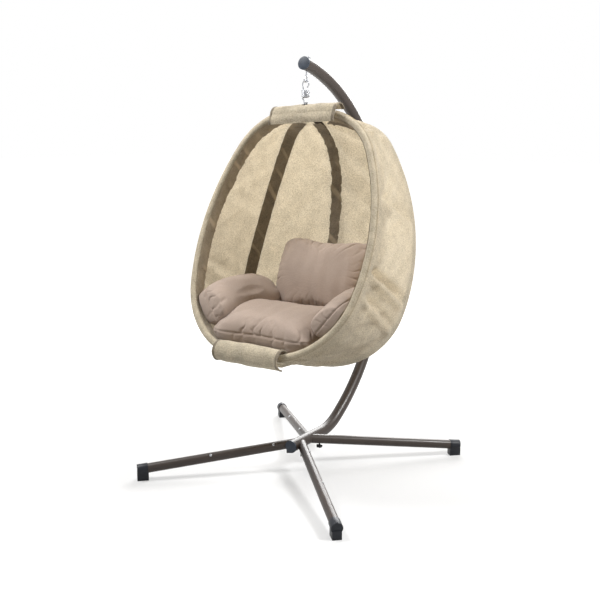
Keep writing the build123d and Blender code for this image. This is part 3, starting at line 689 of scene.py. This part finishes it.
class CHAIR_OT_stage(Dresser, bpy.types.Operator):
    """Camera, floor and soft studio light"""

    bl_idname = "hanging_chair.stage"
    bl_label = "Stage"

    def execute(self, context):
        scene = context.scene
        scene.view_settings.view_transform = "Standard"
        data = bpy.data.cameras.new("camera")
        data.lens = CAMERA_LENS_MM
        data.sensor_width = SENSOR_MM
        camera = bpy.data.objects.new("camera", data)
        camera.location = CAMERA_PLACE
        camera.rotation_euler = (radians(90 + CAMERA_PITCH_DEG), 0, radians(CAMERA_TURN_DEG))
        scene.collection.objects.link(camera)
        scene.camera = camera
        self.floor()
        self.sky(scene)
        for name, values in LAMPS.items():
            self.lamp(name, *values)
        return {"FINISHED"}

    def seen_directly(self, tree):
        """1 for what the camera sees, also in a mirror or through glass."""
        path = tree.nodes.new("ShaderNodeLightPath")
        total = None
        for ray in ("Is Camera Ray", "Is Glossy Ray", "Is Transmission Ray"):
            if total is None:
                total = path.outputs[ray]
                continue
            larger = tree.nodes.new("ShaderNodeMath")
            larger.operation = "MAXIMUM"
            tree.links.new(total, larger.inputs[0])
            tree.links.new(path.outputs[ray], larger.inputs[1])
            total = larger.outputs[0]
        return total

    def floor(self):
        """White to the eye away from the chair, with the chair's own shadow near it."""
        reach = FLOOR_REACH
        corners = [(-reach, -reach, 0), (reach, -reach, 0), (reach, reach, 0), (-reach, reach, 0)]
        floor = to_object("floor", corners, [(0, 1, 2, 3)], smooth=False)
        paint = bpy.data.materials.new("floor_paint")
        paint.use_nodes = True
        tree = paint.node_tree
        tree.nodes.clear()
        output = tree.nodes.new("ShaderNodeOutputMaterial")
        plain = tree.nodes.new("ShaderNodeBsdfDiffuse")
        plain.inputs["Color"].default_value = FLOOR_COLOUR
        dull = tree.nodes.new("ShaderNodeBsdfDiffuse")
        dull.inputs["Color"].default_value = FLOOR_BOUNCE
        lit = tree.nodes.new("ShaderNodeEmission")
        lit.inputs["Color"].default_value = WHITE
        place = tree.nodes.new("ShaderNodeTexCoord")
        away = tree.nodes.new("ShaderNodeVectorMath")
        away.operation = "LENGTH"
        glow = tree.nodes.new("ShaderNodeMapRange")
        glow.inputs["From Min"].default_value = GLOW_NEAR
        glow.inputs["From Max"].default_value = GLOW_FAR
        glow.inputs["To Min"].default_value = GLOW_UNDER_CHAIR
        glow.inputs["To Max"].default_value = GLOW_AWAY
        tree.links.new(place.outputs["Object"], away.inputs[0])
        tree.links.new(away.outputs["Value"], glow.inputs["Value"])
        tree.links.new(glow.outputs["Result"], lit.inputs["Strength"])
        both = tree.nodes.new("ShaderNodeAddShader")
        mix = tree.nodes.new("ShaderNodeMixShader")
        tree.links.new(plain.outputs[0], both.inputs[0])
        tree.links.new(lit.outputs[0], both.inputs[1])
        tree.links.new(self.seen_directly(tree), mix.inputs["Fac"])
        tree.links.new(dull.outputs[0], mix.inputs[1])
        tree.links.new(both.outputs[0], mix.inputs[2])
        tree.links.new(mix.outputs[0], output.inputs["Surface"])
        floor.data.materials.append(paint)

    def sky(self, scene):
        """Soft light from all round, white where the eye sees it."""
        world = bpy.data.worlds.new("studio")
        world.use_nodes = True
        tree = world.node_tree
        tree.nodes.clear()
        output = tree.nodes.new("ShaderNodeOutputWorld")
        ambient = tree.nodes.new("ShaderNodeBackground")
        ambient.inputs["Color"].default_value = AMBIENT_COLOUR
        ambient.inputs["Strength"].default_value = AMBIENT_STRENGTH
        white = tree.nodes.new("ShaderNodeBackground")
        white.inputs["Color"].default_value = WHITE
        mix = tree.nodes.new("ShaderNodeMixShader")
        tree.links.new(self.seen_directly(tree), mix.inputs["Fac"])
        tree.links.new(ambient.outputs[0], mix.inputs[1])
        tree.links.new(white.outputs[0], mix.inputs[2])
        tree.links.new(mix.outputs[0], output.inputs["Surface"])
        scene.world = world

    def lamp(self, name, place, target, size, power):
        data = bpy.data.lights.new(name, "AREA")
        data.size = size
        data.energy = power
        lamp = bpy.data.objects.new(name, data)
        lamp.location = place
        aim = Vector(target) - Vector(place)
        lamp.rotation_euler = aim.to_track_quat("-Z", "Y").to_euler()
        bpy.context.scene.collection.objects.link(lamp)


def softened(node, width, segments):
    """A copy of a CAD node's mesh with its edges rounded over."""
    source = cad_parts[node]
    mesh = source.data.copy()
    mesh.materials.clear()
    work = bmesh.new()
    work.from_mesh(mesh)
    bmesh.ops.remove_doubles(work, verts=work.verts, dist=1e-5)
    work.to_mesh(mesh)
    work.free()
    obj = bpy.data.objects.new(f"{node}_piece", mesh)
    bpy.context.scene.collection.objects.link(obj)
    bevel = obj.modifiers.new("bevel", "BEVEL")
    bevel.width = width
    bevel.segments = segments
    bevel.limit_method = "ANGLE"
    bevel.angle_limit = radians(40)
    apply_modifiers(obj)
    obj.data.shade_smooth()
    obj.data.set_sharp_from_angle(angle=radians(38))
    return obj


def paint_nodes(finish, *names):
    """Paints CAD nodes that show as they are."""
    for name in names:
        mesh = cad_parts[name].data
        mesh.materials.clear()
        mesh.materials.append(material(finish))
        for face in mesh.polygons:
            face.use_smooth = True


class CHAIR_OT_stand(Dresser, bpy.types.Operator):
    """Painted poles, legs and ribs, with their feet, knobs, caps, hubs and bolts"""

    bl_idname = "hanging_chair.stand"
    bl_label = "Stand"

    def execute(self, context):
        legs = ("front_left", "front_right", "rear_left", "rear_right")
        paint_nodes("steel", "pole_lower", "pole_upper", *(f"leg_{leg}" for leg in legs))
        paint_nodes("rib", *RIBS)
        paint_nodes("alloy", "top_hub", "bottom_hub")
        paint_nodes("zinc", "top_hub_bolts", "bottom_hub_bolts", "leg_bolts", "eye_bolt_nut", "swivel_nut")
        for leg in legs:
            foot = softened(f"foot_{leg}", FOOT_EDGE, 3)
            finish_piece(foot, "stand", "foot_plastic", "foot", f"foot_{leg}")
            knob = softened(f"leg_knob_{leg}", KNOB_EDGE, 2)
            finish_piece(knob, f"knob_{leg}", "knob_plastic", "knob", f"leg_knob_{leg}")
        for cap in ("pole_front_cap", "pole_top_cap"):
            piece = softened(cap, CAP_EDGE, 3)
            finish_piece(piece, "stand", "cap_plastic", "cap", cap)
        return {"FINISHED"}


def bent_wire(name, stations, radius, steps=14):
    """A round wire through stations, each a point and a direction."""
    curve = bpy.data.curves.new(name, "CURVE")
    curve.dimensions = "3D"
    curve.bevel_depth = radius
    curve.bevel_resolution = 5
    curve.resolution_u = steps
    curve.use_fill_caps = True
    spline = curve.splines.new("BEZIER")
    spline.bezier_points.add(len(stations) - 1)
    for index, (place, heading) in enumerate(stations):
        knot = spline.bezier_points[index]
        knot.co = place
        knot.handle_left_type = knot.handle_right_type = "FREE"
        heading = Vector(heading).normalized()
        before = stations[max(index - 1, 0)]
        after = stations[min(index + 1, len(stations) - 1)]
        knot.handle_left = Vector(place) - heading * handle_length(before, (place, heading))
        knot.handle_right = Vector(place) + heading * handle_length((place, heading), after)
    source = bpy.data.objects.new(name, curve)
    bpy.context.scene.collection.objects.link(source)
    graph = bpy.context.evaluated_depsgraph_get()
    mesh = bpy.data.meshes.new_from_object(source.evaluated_get(graph))
    bpy.data.objects.remove(source)
    mesh.shade_smooth()
    obj = bpy.data.objects.new(name, mesh)
    bpy.context.scene.collection.objects.link(obj)
    return obj


def handle_length(first, second):
    """Handle that makes a curve between two stations near an arc."""
    chord = (Vector(second[0]) - Vector(first[0])).length
    angle = Vector(first[1]).angle(Vector(second[1]), 0.0) if chord > 0 else 0.0
    return chord / (3 * cos(angle / 4) ** 2)


class CHAIR_OT_hardware(Dresser, bpy.types.Operator):
    """Spring, ring and the two eyes it hangs between"""

    bl_idname = "hanging_chair.hardware"
    bl_label = "Hanging hardware"

    def execute(self, context):
        spring = bent_wire("spring_wire", self.spring_stations(), SPRING_WIRE_R)
        finish_piece(spring, None, "spring_steel", "spring")
        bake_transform(spring)
        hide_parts("spring")
        paint_nodes("zinc", "eye_bolt", "swivel_eye")
        paint_nodes("ring", "hook_ring")
        return {"FINISHED"}

    def spring_stations(self):
        """Upper loop, coil and lower hook, quarter turn by quarter turn."""
        stations = []
        for quarter in range(-1, 3):
            angle = quarter * pi / 2
            if quarter == -1:
                angle = radians(-60)
            place = (LOOP_R * cos(angle), HANG_Y, LOOP_CENTRE + LOOP_R * sin(angle))
            stations.append((place, (-sin(angle), 0, cos(angle))))
        quarters = COIL_TURNS * 4
        fall = (COIL_LOW - COIL_TOP) / quarters
        for quarter in range(quarters + 1):
            angle = pi + quarter * pi / 2
            place = (COIL_R * cos(angle), HANG_Y + COIL_R * sin(angle), COIL_TOP + fall * quarter)
            stations.append((place, (-sin(angle) * COIL_R * pi / 2, cos(angle) * COIL_R * pi / 2, fall)))
        for quarter in range(3):
            angle = pi + quarter * pi / 2
            place = (HOOK_R * cos(angle), HANG_Y, HOOK_CENTRE + HOOK_R * sin(angle))
            stations.append((place, (-sin(angle), 0, cos(angle))))
        return stations


class CHAIR_OT_cover(Dresser, bpy.types.Operator):
    """Four mesh panels stretched between the ribs"""

    bl_idname = "hanging_chair.cover"
    bl_label = "Cover panels"

    def execute(self, context):
        rows, half = PANEL_ROWS, CLOTH / 2
        for side, sign in SIDES.items():
            rim, corner = RIBS[f"rib_rim_{side}"], RIBS[f"rib_corner_{side}"]
            rim_rail = rim.rail(rows, RIM_PROUD + half, forward(rim) * RIM_FORWARD, RIM_START)
            corner_rail = corner.rail(rows, CORNER_PROUD + half, 0.0, CORNER_START)
            back_rail = RIBS["rib_back"].rail(rows, BACK_PROUD + half, 0.0, BACK_START)
            for name, first, second, seed in (
                (f"cover_{side}", rim_rail, corner_rail, 1 + sign),
                (f"cover_back_{side}", corner_rail, back_rail, 5 + sign),
            ):
                piece = panel(f"{name}_cloth", first, second, seed, self.settings)
                finish_piece(piece, "chair", "cover_mesh", "cover", name)
                WALLS.append(piece)
        return {"FINISHED"}


class CHAIR_OT_sleeves(Dresser, bpy.types.Operator):
    """Rolled cloth round the rim and dark bands over the other ribs"""

    bl_idname = "hanging_chair.sleeves"
    bl_label = "Rim rolls and bands"

    def execute(self, context):
        for side, sign in SIDES.items():
            self.rim_cloth(side, sign)
        for name, carrier, drop, start in RIB_BANDS:
            self.rib_band(name, carrier, drop, start)
        return {"FINISHED"}

    def rim_cloth(self, side, sign):
        """The roll round one half of the rim, and the dark band that runs inside it."""
        carrier = f"rib_rim_{side}"
        rim, radius = RIBS[carrier], self.settings.roll_radius
        ahead = rim.across * forward(rim)
        rail = rim.rail(SLEEVE_ROWS, 0.0, 0.0, RIM_SLEEVE_START)
        arc = [radians(angle) for angle in ROLL_ARC_DEG]
        profile = [(radius * cos(angle) + ROLL_FORWARD, radius * sin(angle)) for angle in arc]
        roll = sweep(f"rim_roll_{side}", rail, ahead, profile, 11 + sign, [ROLL_LUMP] * len(profile))
        finish_piece(roll, "chair", "cover_mesh", "roll", f"rim_sleeve_{side}")
        width = self.settings.band_width - RIM_BAND_NARROWER
        places = np.linspace(RIM_BAND_TUCK, -width, 11)
        heights = [0.0005 - 0.0015 * (place > 0) + 0.002 * (place / width) ** 2 for place in places]
        profile = [(place, height - radius) for place, height in zip(places, heights)]
        lumps = [0.0012 + 0.0025 * abs(place) / width for place in places]
        band = sweep(f"rim_band_{side}", rail, ahead, profile, 21 + sign, lumps)
        finish_piece(band, "chair", "sleeve_cloth", "rim_band")
        WALLS.append(band)

    def rib_band(self, name, carrier, drop, start):
        """The dark band that holds one rib to the cover, lying that far inside the rib's line."""
        rib, half = RIBS[carrier], self.settings.band_width / 2
        places = np.linspace(-half, half, 13)
        profile = [(place, -drop + 0.004 * (place / half) ** 2) for place in places]
        lumps = [0.0016 + 0.0026 * (place / half) ** 2 for place in places]
        rail = rib.rail(SLEEVE_ROWS, 0.0, 0.0, start)
        band = sweep(f"{name}_cloth", rail, rib.across, profile, len(name), lumps)
        finish_piece(band, "chair", "sleeve_cloth", "band", name)
        WALLS.append(band)


class CHAIR_OT_flaps(Dresser, bpy.types.Operator):
    """Curved flaps that close the cover round the two hubs"""

    bl_idname = "hanging_chair.flaps"
    bl_label = "Closing flaps"

    def execute(self, context):
        for name, form in FLAPS.items():
            hub = TOP_HUB + DOWN * TOP_FLAP_DROP if name == "top_flap" else BOTTOM_HUB
            hub = Vector((0, hub.y, hub.z))
            flap = self.wrap(f"{name}_cloth", hub, form)
            finish_piece(flap, "chair", "flap_cloth", "flap", name)
            for end, side in SIDES.items():
                edge = self.binding(f"{name}_binding_{end}", hub, form, side)
                finish_piece(edge, "chair", "sleeve_cloth", "band")
        return {"FINISHED"}

    def spot(self, hub, form, share, along, proud=0.0):
        """A place on the flap: share of the way round the hub and down the skirt, along from end to end."""
        start, skirt = radians(form["from_deg"]), form["skirt"]
        turn = radians(form["to_deg"]) - start
        travel = share * (FLAP_FIT * turn + skirt)
        angle = start + min(travel / FLAP_FIT, turn)
        hang = max(0.0, travel - FLAP_FIT * turn)
        bulge = 0.004 * (1 - along * along) + 0.006 * sin(pi * min(1.0, hang / FLAP_SKIRT))
        middle = hub + Vector((FLAP_HALF * along, 0, 0.008 * along * (skirt > 0)))
        rumpled = (FLAP_HALF * along, cos(angle) * 0.05, sin(angle) * 0.05 + hang)
        radius = FLAP_FIT + bulge + 0.0032 * waves(rumpled, 0.05, form["seed"]) + proud
        place = middle + BACK * radius * cos(angle) - DOWN * radius * sin(angle)
        return place - (BACK * sin(angle) + DOWN * cos(angle)) * hang

    def wrap(self, name, hub, form):
        """The whole flap, with its hole where the hanging eye comes through."""
        rows = [
            [self.spot(hub, form, share, along) for along in np.linspace(-1, 1, FLAP_COLUMNS)]
            for share in np.linspace(0, 1, FLAP_ROWS)
        ]
        flap = grid_object(name, np.array(rows))
        return self.open_hole(flap) if name.startswith("top") else flap

    def open_hole(self, flap):
        """Cuts the round hole that the hanging eye comes through."""
        work = bmesh.new()
        work.from_mesh(flap.data)
        through = []
        for face in work.faces:
            spot = face.calc_center_median()
            if hypot(spot.x, spot.y - HANG_Y) < EYE_HOLE_R and spot.z > TOP_HUB.z:
                through.append(face)
        bmesh.ops.delete(work, geom=through, context="FACES")
        work.to_mesh(flap.data)
        work.free()
        return flap

    def binding(self, name, hub, form, side):
        """Dark tape folded over a flap's end."""
        rows = [
            [self.spot(hub, form, share, side * along, proud) for along, proud in TAPE]
            for share in np.linspace(0, 1, FLAP_ROWS)
        ]
        return grid_object(name, np.array(rows))


def outer_shell(node):
    """The outside of a cushion's CAD solid, without the space for its filling."""
    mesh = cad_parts[node].data.copy()
    mesh.materials.clear()
    work = bmesh.new()
    work.from_mesh(mesh)
    bmesh.ops.remove_doubles(work, verts=work.verts, dist=2e-5)
    groups, seen = [], set()
    for start in work.verts:
        if start in seen:
            continue
        group, todo = [], [start]
        seen.add(start)
        while todo:
            vertex = todo.pop()
            group.append(vertex)
            for edge in vertex.link_edges:
                other = edge.other_vert(vertex)
                if other not in seen:
                    seen.add(other)
                    todo.append(other)
        groups.append(group)
    size = [max((vertex.co - group[0].co).length for vertex in group) for group in groups]
    kept = set(groups[size.index(max(size))])
    bmesh.ops.delete(work, geom=[vertex for vertex in work.verts if vertex not in kept], context="VERTS")
    work.to_mesh(mesh)
    work.free()
    obj = bpy.data.objects.new(f"{node}_cloth", mesh)
    bpy.context.scene.collection.objects.link(obj)
    return obj


def remesh(obj, size):
    modifier = obj.modifiers.new("remesh", "REMESH")
    modifier.mode = "VOXEL"
    modifier.voxel_size = size
    apply_modifiers(obj)
    smooth = obj.modifiers.new("smooth", "SMOOTH")
    smooth.factor = 0.5
    smooth.iterations = 12
    return apply_modifiers(obj)


def vertex_array(obj, value="co"):
    """Places, or another value of three numbers, of a mesh's vertices."""
    values = np.empty(len(obj.data.vertices) * 3)
    obj.data.vertices.foreach_get(value, values)
    return values.reshape(-1, 3)


def store(obj, spots):
    obj.data.vertices.foreach_set("co", spots.reshape(-1))
    obj.data.update()


def inflate(obj, pressure, cap):
    """Stuffs a cushion: cloth under pressure, with no point moved further than the cap."""
    start = vertex_array(obj)
    cloth = obj.modifiers.new("stuffing", "CLOTH")
    cloth.settings.quality = 5
    cloth.settings.mass = 0.3
    cloth.settings.tension_stiffness = 12
    cloth.settings.compression_stiffness = 12
    cloth.settings.bending_stiffness = 0.4
    cloth.settings.use_pressure = True
    cloth.settings.uniform_pressure_force = pressure
    cloth.settings.effector_weights.gravity = 0
    cloth.collision_settings.use_collision = False
    cloth.collision_settings.use_self_collision = False
    scene = bpy.context.scene
    for number in range(1, STUFFING_FRAMES + 1):
        scene.frame_set(number)
    apply_modifiers(obj)
    scene.frame_set(1)
    moved = vertex_array(obj) - start
    far = np.linalg.norm(moved, axis=1, keepdims=True)
    store(obj, start + moved * np.minimum(1, cap / np.maximum(far, 1e-9)))


def basket_walls():
    """The inside of the cover as one search tree."""
    points, faces = [], []
    for wall in WALLS:
        first = len(points)
        points.extend(vertex.co for vertex in wall.data.vertices)
        faces.extend([first + index for index in face.vertices] for face in wall.data.polygons)
    return BVHTree.FromPolygons(points, faces)


class Cushion:
    """A stuffed cushion measured along its own length, depth and thickness."""

    def __init__(self, node, up):
        self.obj = remesh(outer_shell(node), CUSHION_VOXEL)
        spots = vertex_array(self.obj)
        centred = spots - spots.mean(axis=0)
        length = np.linalg.svd(centred, full_matrices=False)[2][0]
        length *= np.sign(length[np.argmax(np.abs(length))])
        up = np.array(up) - length * np.dot(up, length)
        up /= np.linalg.norm(up)
        self.axes = np.array([length, np.cross(up, length), up])
        local = centred @ self.axes.T
        self.middle = spots.mean(axis=0) + (local.min(axis=0) + local.max(axis=0)) / 2 @ self.axes
        self.half = (local.max(axis=0) - local.min(axis=0)) / 2

    def local(self):
        return (vertex_array(self.obj) - self.middle) @ self.axes.T

    def plump(self, growth, edge, shift):
        """Fuller than the CAD solid: growth along each axis, more at the edges, and a shift in the world."""
        local = self.local()
        u, v, _ = (local / self.half).T
        rim = np.clip(np.maximum(np.abs(u), np.abs(v)), 0, 1) ** 3
        local *= np.array(growth)
        local[:, 2] *= 1 + edge * rim
        self.half = self.half * np.array(growth)
        self.middle = self.middle + np.array(shift)
        store(self.obj, self.middle + local @ self.axes)

    def dip(self, depth, way):
        """Lets the end on that side of the chair hang lower."""
        spots = vertex_array(self.obj)
        ahead = np.clip(((spots - self.middle) @ np.array(way)) / self.half[0], -1, 1)
        spots[:, 2] -= depth * ahead
        store(self.obj, spots)

    def stuff(self, pressure, cap):
        inflate(self.obj, pressure, cap)
        smooth = self.obj.modifiers.new("subdivision", "SUBSURF")
        smooth.levels = 1
        smooth.render_levels = 1
        apply_modifiers(self.obj)

    def keep_inside(self, walls, clear):
        """Holds the cushion back from the cover by that much."""
        spots = vertex_array(self.obj)
        axis = np.array(DOWN)
        for index, spot in enumerate(spots):
            place, normal, _, distance = walls.find_nearest(Vector(spot), WALL_SEARCH)
            if place is None:
                continue
            middle = np.array(TOP_HUB) + axis * np.dot(spot - np.array(TOP_HUB), axis)
            outward = np.array(normal)
            outward *= 1 if np.dot(outward, np.array(place) - middle) > 0 else -1
            over = np.dot(spot - np.array(place), outward) + clear
            if over > 0:
                spots[index] = spot - outward * over
        store(self.obj, spots)

    def sew(self, settings, seed, pleats, reach, gather, ears):
        """Draws in the seam round the cushion's middle, folds pleats beside it and pulls out the corners."""
        spots, normals, local = vertex_array(self.obj), vertex_array(self.obj, "normal"), self.local()
        u, v, _ = (local / self.half).T
        around = np.arctan2(v, u)
        height = np.abs(local[:, 2])
        seam = np.exp(-((height / SEAM_WIDTH) ** 2))
        rim = np.clip((np.maximum(np.abs(u), np.abs(v)) - 0.55) / 0.3, 0, 1)
        inset = np.minimum(self.half[0] - np.abs(local[:, 0]), self.half[1] - np.abs(local[:, 1]))
        near = np.exp(-(((0.8 * height + np.maximum(inset, 0)) / reach) ** 1.6))
        sway = np.array([waves((spot[0], spot[1], spot[2] * 2.0), 0.06, seed) for spot in local])
        face = np.sign(local[:, 2])
        strength = np.array([waves((cos(a), sin(a), s), 0.35, seed + 2) for a, s in zip(around, face)])
        strength = np.clip(0.55 + 1.1 * strength, 0.0, 1.2) * np.where(face > 0, 1.0, 0.55)
        valley = (0.5 + 0.5 * np.cos(around * pleats + 3.2 * sway + 0.7 * face)) ** 7
        soft = np.array([waves((s[0] * 1.5, s[1] * 0.6, s[2] * 0.7), 0.075, seed + 3) for s in local])
        lift = -settings.pleat_depth * gather * near * valley * strength * (1 - 0.7 * seam)
        lift += 0.0035 * soft
        lift -= settings.seam_depth * seam * rim
        corner = np.clip(np.abs(u) + np.abs(v) - 1.35, 0, 0.65) / 0.65
        tip = np.exp(-((height / EAR_THICKNESS) ** 2)) * corner ** 2 * ears
        pull = np.sign(u)[:, None] * self.axes[0] + np.sign(v)[:, None] * self.axes[1]
        store(self.obj, spots + normals * lift[:, None] + pull * tip[:, None])


CUSHION_FORMS = {
    "seat_cushion": {
        "up": (0, 0, 1),
        "growth": (1.06, 1.0, 1.12),
        "edge": 0.6,
        "shift": (0, 0, 0.012),
        "dip": 0.0,
        "seam": {"pleats": 30, "reach": 0.06, "gather": 0.8, "ears": 0.012},
        "fill": 0.75,
    },
    "back_cushion": {
        "up": (0, -0.95, 0.31),
        "growth": (0.93, 1.02, 1.1),
        "edge": 0.35,
        "shift": (0.030, 0, -0.008),
        "dip": 0.0,
        "seam": {"pleats": 26, "reach": 0.075, "gather": 0.9, "ears": 0.004},
        "fill": 0.6,
    },
    "arm_cushion_left": {
        "up": (0.8, 0, 0.6),
        "growth": (1.1, 1.28, 1.0),
        "edge": 0.2,
        "shift": (0.0, 0.035, -0.025),
        "dip": 0.03,
        "seam": {"pleats": 16, "reach": 0.05, "gather": 0.35, "ears": 0.010},
        "fill": 0.8,
    },
    "arm_cushion_right": {
        "up": (-0.8, 0, 0.6),
        "growth": (1.08, 1.2, 0.82),
        "edge": 0.2,
        "shift": (0.026, 0.030, -0.020),
        "dip": 0.03,
        "seam": {"pleats": 16, "reach": 0.05, "gather": 0.35, "ears": 0.010},
        "fill": 0.8,
    },
}


class CHAIR_OT_cushions(Dresser, bpy.types.Operator):
    """Seat, back and two arm cushions"""

    bl_idname = "hanging_chair.cushions"
    bl_label = "Cushions"

    def execute(self, context):
        walls = basket_walls()
        for seed, (node, form) in enumerate(CUSHION_FORMS.items()):
            cushion = Cushion(node, form["up"])
            cushion.plump(form["growth"], form["edge"], form["shift"])
            cushion.dip(form["dip"], (0, -1, 0))
            cushion.stuff(STUFFING_PRESSURE, self.settings.stuffing_cap)
            cushion.sew(self.settings, 40 + seed, **form["seam"])
            cushion.keep_inside(walls, COVER_CLEARANCE)
            cushion.obj.data.shade_smooth()
            finish_piece(cushion.obj, "chair", "cushion_cloth", "cushion", node)
        return {"FINISHED"}


class CHAIR_PT_panel(bpy.types.Panel):
    """Lists the chair's pieces and settings"""

    bl_idname = "CHAIR_PT_panel"
    bl_label = "Hanging Chair"
    bl_space_type = "VIEW_3D"
    bl_region_type = "UI"
    bl_category = "Hanging Chair"

    def draw(self, context):
        for operator in OPERATORS:
            self.layout.operator(operator.bl_idname)
        settings = context.scene.hanging_chair
        for name in ChairSettings.__annotations__:
            self.layout.prop(settings, name)


OPERATORS = (
    CHAIR_OT_stage,
    CHAIR_OT_stand,
    CHAIR_OT_hardware,
    CHAIR_OT_cover,
    CHAIR_OT_sleeves,
    CHAIR_OT_flaps,
    CHAIR_OT_cushions,
)
CLASSES = (ChairSettings, *OPERATORS, CHAIR_PT_panel)


def register():
    for cls in CLASSES:
        bpy.utils.register_class(cls)
    bpy.types.Scene.hanging_chair = bpy.props.PointerProperty(type=ChairSettings)


def unregister():
    del bpy.types.Scene.hanging_chair
    for cls in reversed(CLASSES):
        bpy.utils.unregister_class(cls)


def main():
    register()
    bpy.ops.hanging_chair.stage()
    bpy.ops.hanging_chair.stand()
    bpy.ops.hanging_chair.hardware()
    bpy.ops.hanging_chair.cover()
    bpy.ops.hanging_chair.sleeves()
    bpy.ops.hanging_chair.flaps()
    bpy.ops.hanging_chair.cushions()


if __name__ == "__main__":
    main()
